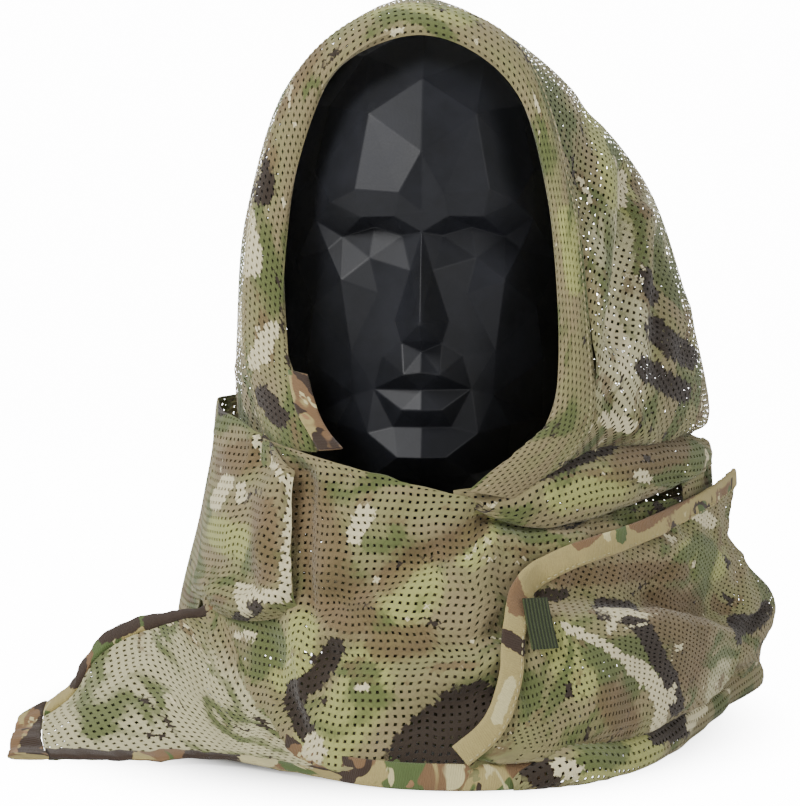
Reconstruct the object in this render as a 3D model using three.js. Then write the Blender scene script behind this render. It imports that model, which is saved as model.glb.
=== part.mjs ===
// A camouflage mesh sniper veil, wound as hood and neck wrap on a faceted display head.
// Millimetres, +Z up. The head stands on the table at z = 0 and faces -Y. Angles round the neck
// start at the front and grow towards +X.
import * as THREE from "three";

// Driving dimensions
const headWidth = 144;
const headLength = 194;
const headHeight = 221.8;
const chinHeight = 124;
const headTurn = -3;
const headShift = 14;
const clothThickness = 2.2;
const layerGap = 0.8;
const seamGap = 0.4;
const tapeWidth = 11;
const tapeThickness = 2.8;
const hemThickness = 4.6;
const tabWidth = 13;
const tabLength = 22;
const tabThickness = 1.6;
const tableGap = 0.5;

// The head that the cloth's guide points below are drawn round
const drawnHead = { width: 144, length: 194, height: 221.8, chin: 124 };

const fit = {
  x: (x) => (x * headWidth) / drawnHead.width,
  y: (y) => (y * headLength) / drawnHead.length,
  z: (z) =>
    z < drawnHead.chin
      ? (z * chinHeight) / drawnHead.chin
      : chinHeight + ((z - drawnHead.chin) * headHeight) / drawnHead.height,
};

const meshCloth = { color: 0x84805c, roughness: 0.95, metalness: 0 };
const wovenTape = { color: 0x84663f, roughness: 0.9, metalness: 0 };
const oliveWebbing = { color: 0x46552f, roughness: 0.85, metalness: 0 };
const blackPlastic = { color: 0x17181b, roughness: 0.45, metalness: 0 };

const suit = new THREE.Group();

function addPiece(name, geometry, finish) {
  const piece = new THREE.Mesh(geometry, new THREE.MeshStandardMaterial(finish));
  piece.name = name;
  suit.add(piece);
  return piece;
}

// Smooth value through a list of numbers or equal-length arrays, at t from 0 to 1
function through(list, t) {
  const last = list.length - 1;
  const place = Math.min(Math.max(t, 0), 1) * last;
  const i = Math.min(Math.floor(place), last - 1);
  const before = i > 0 ? list[i - 1] : extend(list[0], list[1]);
  const after = i + 2 <= last ? list[i + 2] : extend(list[last], list[last - 1]);
  return blendFour([before, list[i], list[i + 1], after], place - i);
}

function extend(end, neighbour) {
  return Array.isArray(end) ? end.map((a, k) => 2 * a - neighbour[k]) : 2 * end - neighbour;
}

function blendFour([a, b, c, d], t) {
  if (Array.isArray(a)) return a.map((_, k) => blendFour([a[k], b[k], c[k], d[k]], t));
  const linear = c - a;
  const square = 2 * a - 5 * b + 4 * c - d;
  const cube = 3 * (b - c) + d - a;
  return 0.5 * (2 * b + linear * t + square * t * t + cube * t * t * t);
}

// Closed shell between an outer and an inner grid of points with the same rows and columns
function shellGeometry(outer, inner) {
  const rows = outer.length;
  const columns = outer[0].length;
  const flat = [...outer.flat(), ...inner.flat()];
  const at = (i, j) => i * columns + j;
  const under = rows * columns;
  const faces = [];
  const quad = (a, b, c, d) => faces.push(a, b, c, a, c, d);
  for (let i = 0; i < rows - 1; i += 1) {
    for (let j = 0; j < columns - 1; j += 1) {
      quad(at(i, j), at(i, j + 1), at(i + 1, j + 1), at(i + 1, j));
      quad(under + at(i, j), under + at(i + 1, j), under + at(i + 1, j + 1), under + at(i, j + 1));
    }
  }
  const rim = [];
  for (let j = 0; j < columns - 1; j += 1) rim.push(at(0, j));
  for (let i = 0; i < rows - 1; i += 1) rim.push(at(i, columns - 1));
  for (let j = columns - 1; j > 0; j -= 1) rim.push(at(rows - 1, j));
  for (let i = rows - 1; i > 0; i -= 1) rim.push(at(i, 0));
  rim.forEach((a, k) => {
    const b = rim[(k + 1) % rim.length];
    quad(a, under + a, under + b, b);
  });
  return closedGeometry(flat, faces);
}

// Turns a closed body the right way out when its faces were listed inwards
function closedGeometry(points, faces) {
  const volume = faces.reduce((sum, _, k) => {
    if (k % 3) return sum;
    const [a, b, c] = [points[faces[k]], points[faces[k + 1]], points[faces[k + 2]]];
    return sum + new THREE.Vector3(...a).dot(new THREE.Vector3(...b).cross(new THREE.Vector3(...c)));
  }, 0);
  const geometry = new THREE.BufferGeometry();
  geometry.setAttribute("position", new THREE.Float32BufferAttribute(points.flat(), 3));
  geometry.setIndex(volume < 0 ? [...faces].reverse() : faces);
  return geometry;
}

// ---- Display head: rows of half outlines [x, y] from the middle of the front to the middle of
// the back, mirrored, on a flat foot
const headRows = [
  [0, [[0, -46], [22, -42], [40, -28], [52, -10], [56, 8], [54, 28], [44, 48], [24, 62], [0, 66]]],
  [12, [[0, -46], [22, -42], [40, -28], [52, -10], [56, 8], [54, 28], [44, 48], [24, 62], [0, 66]]],
  [70, [[0, -34], [20, -31], [36, -20], [46, -4], [50, 12], [48, 30], [38, 48], [20, 60], [0, 63]]],
  [112, [[0, -40], [20, -38], [38, -24], [50, -4], [55, 14], [53, 34], [42, 54], [22, 68], [0, 72]]],
  [124, [[0, -78], [13, -77], [30, -62], [48, -30], [58, 2], [58, 30], [47, 58], [24, 76], [0, 81]]],
  [138, [[0, -86], [12, -85], [33, -68], [54, -34], [63, 2], [63, 32], [51, 62], [26, 81], [0, 86]]],
  [149, [[0, -80], [17, -78], [38, -64], [58, -32], [66, 2], [66, 34], [53, 65], [27, 83], [0, 89]]],
  [160, [[0, -88], [20, -80], [41, -62], [60, -30], [68, 2], [68, 34], [54, 66], [28, 85], [0, 90]]],
  [173, [[0, -83], [12, -82], [43, -60], [62, -30], [69, 2], [69, 34], [55, 66], [28, 86], [0, 91]]],
  [182, [[0, -101], [13, -85], [38, -67], [62, -34], [70, 0], [70, 34], [56, 67], [28, 87], [0, 92]]],
  [206, [[0, -95], [9, -83], [33, -75], [60, -46], [71, 0], [71, 34], [57, 68], [29, 88], [0, 93]]],
  [229, [[0, -86], [12, -74], [30, -66], [54, -52], [71, -6], [71, 32], [58, 68], [29, 88], [0, 93]]],
  [243, [[0, -89], [16, -88], [38, -80], [58, -58], [72, -8], [72, 32], [58, 67], [29, 87], [0, 92]]],
  [270, [[0, -86], [22, -83], [40, -73], [58, -50], [71, -8], [70, 32], [56, 64], [28, 83], [0, 88]]],
  [298, [[0, -74], [20, -71], [36, -62], [52, -42], [63, -6], [61, 28], [48, 56], [24, 72], [0, 77]]],
  [322, [[0, -50], [14, -48], [26, -41], [37, -27], [44, -2], [42, 24], [32, 42], [16, 53], [0, 57]]],
  [338, [[0, -18], [6, -17], [12, -13], [17, -6], [20, 4], [18, 14], [12, 22], [6, 26], [0, 27]]],
];

function headForm() {
  const turn = THREE.MathUtils.degToRad(headTurn);
  const place = (x, y, z) => [
    headShift + Math.cos(turn) * fit.x(x) - Math.sin(turn) * fit.y(y),
    Math.sin(turn) * fit.x(x) + Math.cos(turn) * fit.y(y),
    fit.z(z),
  ];
  const points = headRows.flatMap(([z, half]) => {
    const mirrored = half.slice(1, -1).reverse().map(([x, y]) => [-x, y]);
    return [...half, ...mirrored].map(([x, y]) => place(x, y, z));
  });
  const around = 2 * (headRows[0][1].length - 1);
  const faces = [];
  for (let row = 0; row < headRows.length - 1; row += 1) {
    for (let k = 0; k < around; k += 1) {
      const a = row * around + k;
      const b = row * around + ((k + 1) % around);
      const [c, d] = [b + around, a + around];
      const cut = (row + k + (k >= around / 2 ? 1 : 0)) % 2;
      faces.push(...(cut ? [a, b, c, a, c, d] : [a, b, d, b, c, d]));
    }
  }
  const top = (headRows.length - 1) * around;
  const crown = points.push(place(0, 5, drawnHead.chin + drawnHead.height)) - 1;
  for (let k = 0; k < around; k += 1) faces.push(top + k, top + ((k + 1) % around), crown);
  const foot = points.push(place(0, 8, 0)) - 1;
  for (let k = 0; k < around; k += 1) faces.push((k + 1) % around, k, foot);
  return closedGeometry(points, faces);
}

addPiece("head_form", headForm(), blackPlastic);

// ---- Hood: guide arches [x, y, z] from the viewer's lower left over the top to the lower right
const openingArch = [
  [-46, -82, 158], [-54, -71, 190], [-50, -70, 252], [-32, -73, 305], [9, -75, 323],
  [50, -77, 302], [66, -83, 252], [71, -90, 190], [68, -95, 156],
];
const seamArch = [
  [-69, -57, 158], [-75, -58, 190], [-69, -61, 252], [-46, -60, 312], [3, -55, 338],
  [55, -64, 321], [76, -76, 255], [84, -84, 190], [86, -86, 154],
];
const hoodArches = [
  seamArch,
  [[-80, -20, 142], [-82, -22, 195], [-77, -25, 250], [-54, -25, 313], [6, -20, 348],
    [66, -30, 326], [94, -42, 276], [108, -52, 215], [116, -60, 147]],
  [[-82, 15, 142], [-84, 15, 195], [-79, 12, 250], [-55, 12, 316], [8, 15, 348],
    [74, 8, 324], [112, 0, 272], [136, -8, 212], [146, -14, 147]],
  [[-79, 48, 142], [-80, 48, 195], [-76, 50, 250], [-50, 52, 310], [10, 58, 338],
    [82, 50, 309], [124, 42, 260], [144, 40, 205], [157, 38, 147]],
  [[-74, 70, 142], [-74, 74, 180], [-68, 80, 222], [-42, 92, 268], [12, 99, 290],
    [66, 92, 266], [104, 80, 226], [130, 72, 185], [148, 64, 147]],
  [[-66, 86, 142], [-64, 90, 160], [-54, 98, 185], [-30, 108, 208], [10, 113, 220],
    [50, 110, 206], [88, 100, 185], [116, 90, 165], [132, 82, 146]],
  [[-56, 96, 140], [-46, 104, 140], [-34, 110, 140], [-14, 115, 140], [10, 118, 140],
    [36, 117, 141], [62, 113, 142], [88, 106, 143], [112, 97, 144]],
];

// Point of the surface through a net of guide points, v down the list of arches, u along them
function netPoint(net, u, v) {
  return new THREE.Vector3(...through(net.map((arch) => through(arch, u)), v));
}

const fitted = (arches) => arches.map((arch) => arch.map(([x, y, z]) => [fit.x(x), fit.y(y), fit.z(z)]));

// Shell of one thickness on the inner side of a surface, with v from low(u) to high(u)
function sheetShell({ surface, columns, rows, thickness, low, high, swell = 0, inward = 1 }) {
  const step = 0.001;
  const outer = [];
  const inner = [];
  for (let i = 0; i <= rows; i += 1) {
    outer.push([]);
    inner.push([]);
    for (let j = 0; j <= columns; j += 1) {
      const u = j / columns;
      const share = i / rows;
      const v = THREE.MathUtils.lerp(low(u), high(u), share);
      const across = surface(Math.min(u + step, 1), v).sub(surface(Math.max(u - step, 0), v));
      const along = surface(u, Math.min(v + step, 1)).sub(surface(u, Math.max(v - step, 0)));
      const normal = across.cross(along).normalize().multiplyScalar(inward);
      const rise = swell * Math.sin(Math.PI * share);
      outer[i].push(surface(u, v).addScaledVector(normal, rise).toArray());
      inner[i].push(surface(u, v).addScaledVector(normal, rise - thickness).toArray());
    }
  }
  return shellGeometry(outer, inner);
}

// Share of v that covers a distance on a surface, from a given v at u
function shareOf(surface, u, from, distance) {
  const step = from < 0.5 ? 0.01 : -0.01;
  const reach = surface(u, from + step).distanceTo(surface(u, from));
  return from + (step * distance) / reach;
}

const hoodNet = fitted([openingArch, ...hoodArches]);
const hoodSeam = 1 / (hoodNet.length - 1);
const hoodSurface = (u, v) => netPoint(hoodNet, u, v);

function hoodShell() {
  const low = (u) => shareOf(hoodSurface, u, hoodSeam, seamGap);
  return sheetShell({
    surface: hoodSurface, columns: 32, rows: 18, thickness: clothThickness, low, high: () => 1,
  });
}

function hoodHem() {
  return sheetShell({
    surface: hoodSurface, columns: 32, rows: 3, thickness: hemThickness,
    low: () => 0, high: () => hoodSeam, swell: 2.5,
  });
}

// Woven tape that shows inside the lower viewer's left of the opening
function chinBinding() {
  const tape = fitted([
    [[-41, -84.7, 170], [-37, -88, 156], [-32, -91, 146], [-25, -96, 138]],
    [[-50, -79.7, 172], [-47, -85, 156], [-41, -90, 145], [-36, -95, 137]],
  ]);
  const surface = (u, v) => netPoint(tape, u, v);
  return sheetShell({
    surface, columns: 6, rows: 2, thickness: clothThickness, low: () => 0, high: () => 1,
    inward: -1,
  });
}

addPiece("hood_mesh", hoodShell(), meshCloth);
addPiece("hood_face_hem", hoodHem(), meshCloth);

// ---- Neck wrap: radius of the innermost turn every 30 degrees, by height
const wrapGirths = [
  { z: 0, radii: [152, 164, 150, 158, 222, 192, 175, 168, 140, 106, 110, 120] },
  { z: 50, radii: [138, 148, 145, 160, 204, 180, 165, 155, 130, 104, 107, 117] },
  { z: 100, radii: [120, 128, 134, 152, 182, 166, 150, 140, 114, 96, 99, 108] },
  { z: 150, radii: [107, 111, 124, 150, 168, 152, 136, 124, 103, 88, 90, 96] },
  { z: 180, radii: [102, 106, 118, 146, 160, 144, 128, 116, 96, 84, 86, 92] },
];

function wrapRadius(angle, z) {
  const byHeight = wrapGirths.map(({ radii }) => {
    const place = ((((angle / 30) % 12) + 12) % 12);
    const i = Math.floor(place);
    const four = [i + 11, i, i + 1, i + 2].map((k) => radii[k % 12]);
    return blendFour(four, place - i);
  });
  const k = wrapGirths.findIndex((girth, n) => n > 0 && z <= girth.z);
  const n = k < 0 ? wrapGirths.length - 1 : k;
  const share = (z - wrapGirths[n - 1].z) / (wrapGirths[n].z - wrapGirths[n - 1].z);
  return through(byHeight, (n - 1 + share) / (wrapGirths.length - 1));
}

function wrapPoint([angle, z], offset) {
  const turn = THREE.MathUtils.degToRad(angle);
  const radius = wrapRadius(angle, z);
  const reach = new THREE.Vector3(fit.x(radius * Math.sin(turn)), fit.y(-radius * Math.cos(turn)), 0);
  return reach.setLength(reach.length() + offset).setZ(fit.z(z));
}

const layerOffset = (layer) => layer * (clothThickness + layerGap);

// A turn of cloth between two edges, each a list of [angle, z] from one end to the other
function swath({ bottom, top, layer, thickness = clothThickness, swell = 0, columns, rows }) {
  const outer = [];
  const inner = [];
  for (let i = 0; i <= rows; i += 1) {
    const share = i / rows;
    const offset = layerOffset(layer) + swell * Math.sin(Math.PI * share) ** 2;
    const row = Array.from({ length: columns + 1 }, (_, j) => {
      const [low, high] = [bottom(j / columns), top(j / columns)];
      return low.map((a, k) => a + (high[k] - a) * share);
    });
    outer.push(row.map((place) => wrapPoint(place, offset).toArray()));
    inner.push(row.map((place) => wrapPoint(place, offset - thickness).toArray()));
  }
  return shellGeometry(outer, inner);
}

// The edge moved sideways by a distance on the cloth, to the left of its own direction
function besideEdge(edge, distance) {
  return (t) => {
    const step = 0.01;
    const [a, b] = [edge(Math.max(t - step, 0)), edge(Math.min(t + step, 1))];
    const [angle, z] = edge(t);
    const arc = THREE.MathUtils.degToRad(wrapRadius(angle, z));
    const [run, rise] = [(b[0] - a[0]) * arc, b[1] - a[1]];
    const length = Math.hypot(run, rise);
    return [angle - (rise / length) * (distance / arc), z + (run / length) * distance];
  };
}

const edgeThrough = (list) => (t) => through(list, t);
const level = (from, to, z) => (t) => [from + (to - from) * t, z];
const hemTop = tableGap + tapeWidth;

const frontTop = edgeThrough([
  [-60, 148], [-42, 141], [-24, 135], [-6, 128], [14, 118], [28, 108], [45, 108], [60, 110],
  [74, 111],
]);
const frontSweep = edgeThrough([[-62, 62], [-51, 48], [-37, 28], [-22, 8], [26, 0], [74, 0]]);
const frontBottom = (t) => {
  const [angle, z] = frontSweep(t);
  return [angle, Math.max(z, hemTop + seamGap)];
};

addPiece(
  "front_swath",
  swath({ bottom: frontBottom, top: frontTop, layer: 0, columns: 27, rows: 8 }),
  meshCloth,
);

// Soft roll under the chin, from the opening's lower right edge round to the hood's side
function throatRoll() {
  const top = edgeThrough([[17, 123], [25, 132], [33, 142], [42, 147], [60, 146], [80, 146], [99, 146]]);
  const bottom = edgeThrough([
    [19, 115 + seamGap], [27, 109 + seamGap], [38, 107.5 + seamGap], [49, 109 + seamGap],
    [64, 111 + seamGap], [81, 112.5 + seamGap], [99, 114 + seamGap],
  ]);
  return swath({ bottom, top, layer: 0, swell: 2.5, columns: 18, rows: 4 });
}

addPiece("throat_roll", throatRoll(), meshCloth);

const leftTop = edgeThrough([
  [-33, 136], [-46, 145], [-62, 151], [-80, 156], [-98, 160], [-116, 160], [-134, 158],
]);
const leftBottom = edgeThrough([
  [-29, 68], [-43, 60], [-59, 61], [-77, 60], [-97, 42], [-117, 18], [-134, 4],
]);
addPiece(
  "left_swath",
  swath({ bottom: leftBottom, top: leftTop, layer: 1, columns: 20, rows: 8 }),
  meshCloth,
);

const rightTop = edgeThrough([
  [76, 110], [88, 112], [101, 113], [113, 124], [128, 137], [144, 144],
]);
addPiece(
  "right_swath",
  swath({ bottom: level(76, 144, tableGap), top: rightTop, layer: 0, columns: 15, rows: 8 }),
  meshCloth,
);

const backTop = edgeThrough([[136, 146], [160, 150], [184, 152], [208, 156], [232, 156]]);
addPiece(
  "back_swath",
  swath({
    bottom: level(136, 232, hemTop + seamGap), top: backTop, layer: -1, columns: 20, rows: 8,
  }),
  meshCloth,
);

addPiece(
  "back_hem_binding",
  swath({
    bottom: level(136, 232, tableGap), top: level(136, 232, hemTop), layer: -1,
    thickness: tapeThickness, columns: 20, rows: 1,
  }),
  wovenTape,
);
addPiece(
  "front_hem_binding",
  swath({
    bottom: level(-23, 24, tableGap), top: level(-23, 24, hemTop), layer: 0,
    thickness: tapeThickness, columns: 10, rows: 1,
  }),
  wovenTape,
);

// ---- Lapel: the loose front end of the wrap, bound on its free edge
const lapelEdge = edgeThrough([
  [9, 19], [14, 30], [17, 46], [20, 68], [24, 86], [34, 97], [54, 104], [79, 112], [104, 120],
]);
const lapelBottom = edgeThrough([
  [15, 16], [23, 16], [31, 16], [39, 16], [47, 16], [57, 16], [72, 16], [89, 16], [106, 16],
]);

addPiece(
  "lapel_mesh",
  swath({
    bottom: lapelBottom, top: besideEdge(lapelEdge, -tapeWidth - seamGap), layer: 1,
    columns: 26, rows: 8,
  }),
  meshCloth,
);
addPiece(
  "lapel_binding",
  swath({
    bottom: besideEdge(lapelEdge, -tapeWidth), top: lapelEdge, layer: 1,
    thickness: tapeThickness - layerGap, columns: 30, rows: 1,
  }),
  wovenTape,
);

function lapelTab() {
  const [left, middle] = [25.5, 67];
  const width = tabWidth / THREE.MathUtils.degToRad(wrapRadius(left, middle));
  return swath({
    bottom: level(left, left + width, middle - tabLength / 2),
    top: level(left, left + width, middle + tabLength / 2),
    layer: 1 + (tabThickness + seamGap) / (clothThickness + layerGap),
    thickness: tabThickness, columns: 2, rows: 2,
  });
}

addPiece("lapel_tab", lapelTab(), oliveWebbing);
addPiece(
  "lapel_hem_roll",
  swath({
    bottom: level(24, 104, tableGap), top: level(24, 104, 16 - seamGap), layer: 1,
    swell: 3, columns: 18, rows: 3,
  }),
  meshCloth,
);

// ---- Tail: the other loose end, which slopes to the table at the viewer's left
const tailRoot = [0.08, 0.22, 0.38, 0.55].map((t) =>
  wrapPoint(besideEdge(frontSweep, -2 * seamGap)(t), layerGap).toArray(),
);
const tailNet = [
  tailRoot,
  ...fitted([
    [[-120, -42, 49], [-113, -68, 34], [-99, -92, 16], [-78, -108, 4]],
    [[-140, -48, 38], [-134, -70, 25], [-123, -90, 12], [-108, -104, 3.5]],
    [[-156, -60, 19], [-153, -76, 12], [-148, -89, 7], [-140, -101, 3.5]],
    [[-168, -72, 7], [-168, -82, 5.5], [-168, -91, 4.5], [-168, -100, 3.5]],
  ]),
];
const tailSurface = (v, u) => netPoint(tailNet, u, v);
const tailTipStart = 0.86;

function tailStrip({ from, to, low, high, columns, rows, thickness }) {
  const surface = (u, v) => tailSurface(from + (to - from) * u, v);
  return sheetShell({ surface, columns, rows, thickness, low, high, inward: -1 });
}

const tailTape = (u) => shareOf(tailSurface, u, 0, tapeWidth);
const tailHem = (u) => shareOf(tailSurface, u, 1, tapeWidth);
const tailGap = (u) => shareOf(tailSurface, u, 0, seamGap);
const overTail = (share) => (u) => share(u * (tailTipStart - 0.01));

addPiece(
  "tail_mesh",
  tailStrip({
    from: 0, to: tailTipStart - 0.01, columns: 14, rows: 6, thickness: clothThickness,
    low: overTail((u) => tailTape(u) + tailGap(u)),
    high: overTail((u) => tailHem(u) - tailGap(u)),
  }),
  meshCloth,
);
addPiece(
  "tail_top_binding",
  tailStrip({
    from: 0, to: tailTipStart - 0.01, columns: 14, rows: 1, thickness: tapeThickness,
    low: () => 0, high: overTail(tailTape),
  }),
  wovenTape,
);
addPiece(
  "tail_hem_binding",
  tailStrip({
    from: 0, to: tailTipStart - 0.01, columns: 14, rows: 1, thickness: tapeThickness,
    low: overTail(tailHem), high: () => 1,
  }),
  wovenTape,
);
addPiece(
  "tail_tip_binding",
  tailStrip({
    from: tailTipStart, to: 1, columns: 3, rows: 5, thickness: tapeThickness,
    low: () => 0, high: () => 1,
  }),
  wovenTape,
);
addPiece("chin_binding", chinBinding(), wovenTape);

export default suit;
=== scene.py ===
import math

import bmesh
import bpy
import numpy as np
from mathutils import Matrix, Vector
from mathutils.geometry import delaunay_2d_cdt


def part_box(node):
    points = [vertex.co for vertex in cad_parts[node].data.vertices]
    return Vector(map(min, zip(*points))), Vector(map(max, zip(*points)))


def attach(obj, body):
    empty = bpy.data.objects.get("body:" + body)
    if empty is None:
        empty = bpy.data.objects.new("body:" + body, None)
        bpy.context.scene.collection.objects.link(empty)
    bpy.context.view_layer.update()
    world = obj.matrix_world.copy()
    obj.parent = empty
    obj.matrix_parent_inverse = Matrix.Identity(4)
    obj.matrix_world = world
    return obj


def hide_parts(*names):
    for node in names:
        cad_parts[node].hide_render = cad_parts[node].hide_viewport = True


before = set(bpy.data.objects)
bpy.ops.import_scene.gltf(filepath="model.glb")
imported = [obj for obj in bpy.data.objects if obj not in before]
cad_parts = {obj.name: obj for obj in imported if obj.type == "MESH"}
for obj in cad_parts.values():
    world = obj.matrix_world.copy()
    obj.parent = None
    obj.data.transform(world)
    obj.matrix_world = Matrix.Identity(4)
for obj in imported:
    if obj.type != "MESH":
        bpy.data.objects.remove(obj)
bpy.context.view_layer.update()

# ---- Camera: a long lens at the height of the nose, nodding a few degrees down, so that the table
# shows a little under the hems.
CAMERA_NOD = math.radians(3)
camera = bpy.data.objects.new("camera", bpy.data.cameras.new("camera"))
bpy.context.collection.objects.link(camera)
bpy.context.scene.camera = camera
camera.location = (0.0, -0.9, 0.2)
camera.rotation_euler = (math.pi / 2 - CAMERA_NOD, 0, 0)
camera.data.sensor_width = 36
camera.data.lens = 82
camera.data.clip_start = 0.02


# ---- Table and light: a plain white table that runs up into the backdrop, which glows away from the
# object, and three large soft lamps, the strongest above and to the viewer's left.
class Wire:
    """One output in a shader tree, which takes part in Python expressions as a number does."""

    def __init__(self, shader, socket):
        self.shader = shader
        self.socket = socket

    def maths(self, operation, *values):
        return self.shader.node("ShaderNodeMath", {"operation": operation}, *values)

    def __add__(self, other):
        return self.maths("ADD", self, other)

    def __sub__(self, other):
        return self.maths("SUBTRACT", self, other)

    def __rsub__(self, other):
        return self.maths("SUBTRACT", other, self)

    def __mul__(self, other):
        return self.maths("MULTIPLY", self, other)

    __radd__ = __add__
    __rmul__ = __mul__

    def wave(self):
        return self.maths("SINE", self)

    def largest(self, other):
        return self.maths("MAXIMUM", self, other)

    def ramp(self, low, high):
        """0 below low, 1 above high, smooth between them."""
        settings = {"interpolation_type": "SMOOTHSTEP"}
        return self.shader.node("ShaderNodeMapRange", settings, self, low, high, 0.0, 1.0)


class Shader:
    """A material and its node tree."""

    def __init__(self, name):
        self.material = bpy.data.materials.new(name)
        self.material.use_nodes = True
        self.tree = self.material.node_tree
        self.surface = self.tree.nodes["Principled BSDF"]

    def node(self, kind, settings=None, *values, output=0, **named):
        made = self.tree.nodes.new(kind)
        for key, value in (settings or {}).items():
            setattr(made, key, value)
        shown = [socket for socket in made.inputs if socket.enabled]
        for socket, value in [*zip(shown, values), *((made.inputs[k], v) for k, v in named.items())]:
            self.feed(socket, value)
        outputs = [socket for socket in made.outputs if socket.enabled]
        return Wire(self, outputs[output])

    def feed(self, socket, value):
        if isinstance(value, Wire):
            self.tree.links.new(value.socket, socket)
        elif value is not None:
            socket.default_value = value

    def set(self, **named):
        for name, value in named.items():
            self.feed(self.surface.inputs[name.replace("_", " ")], value)

    def mix(self, factor, first, second):
        settings = {"data_type": "RGBA", "clamp_factor": True}
        return self.node("ShaderNodeMix", settings, factor, first, second)

    def attribute(self, name):
        return self.node("ShaderNodeAttribute", {"attribute_name": name}, output=2)

    def noise(self, where, scale, detail=2.0, rough=0.5, distortion=0.0):
        return self.node(
            "ShaderNodeTexNoise", None, Vector=where, Scale=scale, Detail=detail,
            Roughness=rough, Distortion=distortion,
        )

    def stretch(self, where, scale, location=(0, 0, 0), turn=0.0):
        turned = {"Location": location, "Scale": scale, "Rotation": (0, 0, turn)}
        return self.node("ShaderNodeMapping", None, Vector=where, **turned)

    def axis(self, where, number):
        """One of the three coordinates of a place."""
        return self.node("ShaderNodeSeparateXYZ", None, where, output=number)

    def bump(self, height, distance, strength):
        return self.node("ShaderNodeBump", None, Height=height, Distance=distance, Strength=strength)


def linear(red, green, blue):
    """A colour named by its 0 to 255 display values, as the shader's linear ones."""
    return tuple((channel / 255) ** 2.2 for channel in (red, green, blue)) + (1.0,)


GLOW_STARTS, GLOW_FULL = 0.12, 0.2  # distances from the object's middle


def mesh_object(name, points, faces, edges=()):
    """An object of points, faces and loose edges, at the origin."""
    mesh = bpy.data.meshes.new(name)
    mesh.from_pydata(np.asarray(points, float).tolist(), list(edges), faces)
    made = bpy.data.objects.new(name, mesh)
    bpy.context.collection.objects.link(made)
    return made


def shade(made, smooth=True):
    """Shades an object smooth or in flat facets."""
    made.data.polygons.foreach_set("use_smooth", [smooth] * len(made.data.polygons))


def stage_plane():
    """The white table, which runs up into the backdrop in one bend."""
    table_paint = Shader("table_white")
    where = table_paint.node("ShaderNodeTexCoord", None, output=3)
    speck = table_paint.noise(where, 90, 3)
    seen = table_paint.node("ShaderNodeLightPath", None, output=0)
    reach = table_paint.node("ShaderNodeVectorMath", {"operation": "LENGTH"}, where, output=0)
    glow = reach.ramp(GLOW_STARTS, GLOW_FULL) * seen
    table_paint.set(
        Base_Color=table_paint.mix(speck, linear(246, 246, 246), linear(252, 252, 252)),
        Roughness=0.7,
        Emission_Color=table_paint.mix(glow, (0, 0, 0, 1), (1, 1, 1, 1)),
    )
    table_paint.surface.inputs["Emission Strength"].default_value = 14.0
    deep, wide, high, bend, steps = 4.0, 4.0, 3.0, 0.8, 12
    profile = [(-deep, 0.0), (deep - bend, 0.0)]
    for k in range(1, steps + 1):
        a = math.pi / 2 * k / steps
        profile.append((deep - bend + bend * math.sin(a), bend - bend * math.cos(a)))
    profile.append((deep, high))
    points = [(x, y, z) for y, z in profile for x in (-wide, wide)]
    faces = [(2 * k, 2 * k + 1, 2 * k + 3, 2 * k + 2) for k in range(len(profile) - 1)]
    table = mesh_object("table", points, faces)
    shade(table)
    table.data.materials.append(table_paint.material)


def soft_lamp(name, place, aim, size, watts):
    """A large lamp at a place, turned towards its aim."""
    lamp = bpy.data.objects.new(name, bpy.data.lights.new(name, "AREA"))
    lamp.data.shape = "RECTANGLE"
    lamp.data.size, lamp.data.size_y = size
    lamp.data.energy = watts
    lamp.location = place
    way = np.subtract(aim, place)
    flat = math.hypot(way[0], way[1])
    lamp.rotation_euler = (math.atan2(flat, -way[2]), 0, math.atan2(way[1], way[0]) - math.pi / 2)
    bpy.context.collection.objects.link(lamp)


stage_plane()
soft_lamp("key_lamp", (-0.9, -0.9, 1.2), (0, 0, 0.15), (0.7, 0.7), 29)
soft_lamp("fill_lamp", (1.3, -0.9, 0.7), (0, 0, 0.17), (1.0, 0.8), 8.0)
soft_lamp("back_lamp", (0.2, 0.9, 1.5), (0, 0.2, 0.2), (1.6, 0.8), 14)

world = bpy.data.worlds.new("studio")
bpy.context.scene.world = world
world.use_nodes = True
world.node_tree.nodes["Background"].inputs["Color"].default_value = (1, 1, 1, 1)
world.node_tree.nodes["Background"].inputs["Strength"].default_value = 0.42


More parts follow.
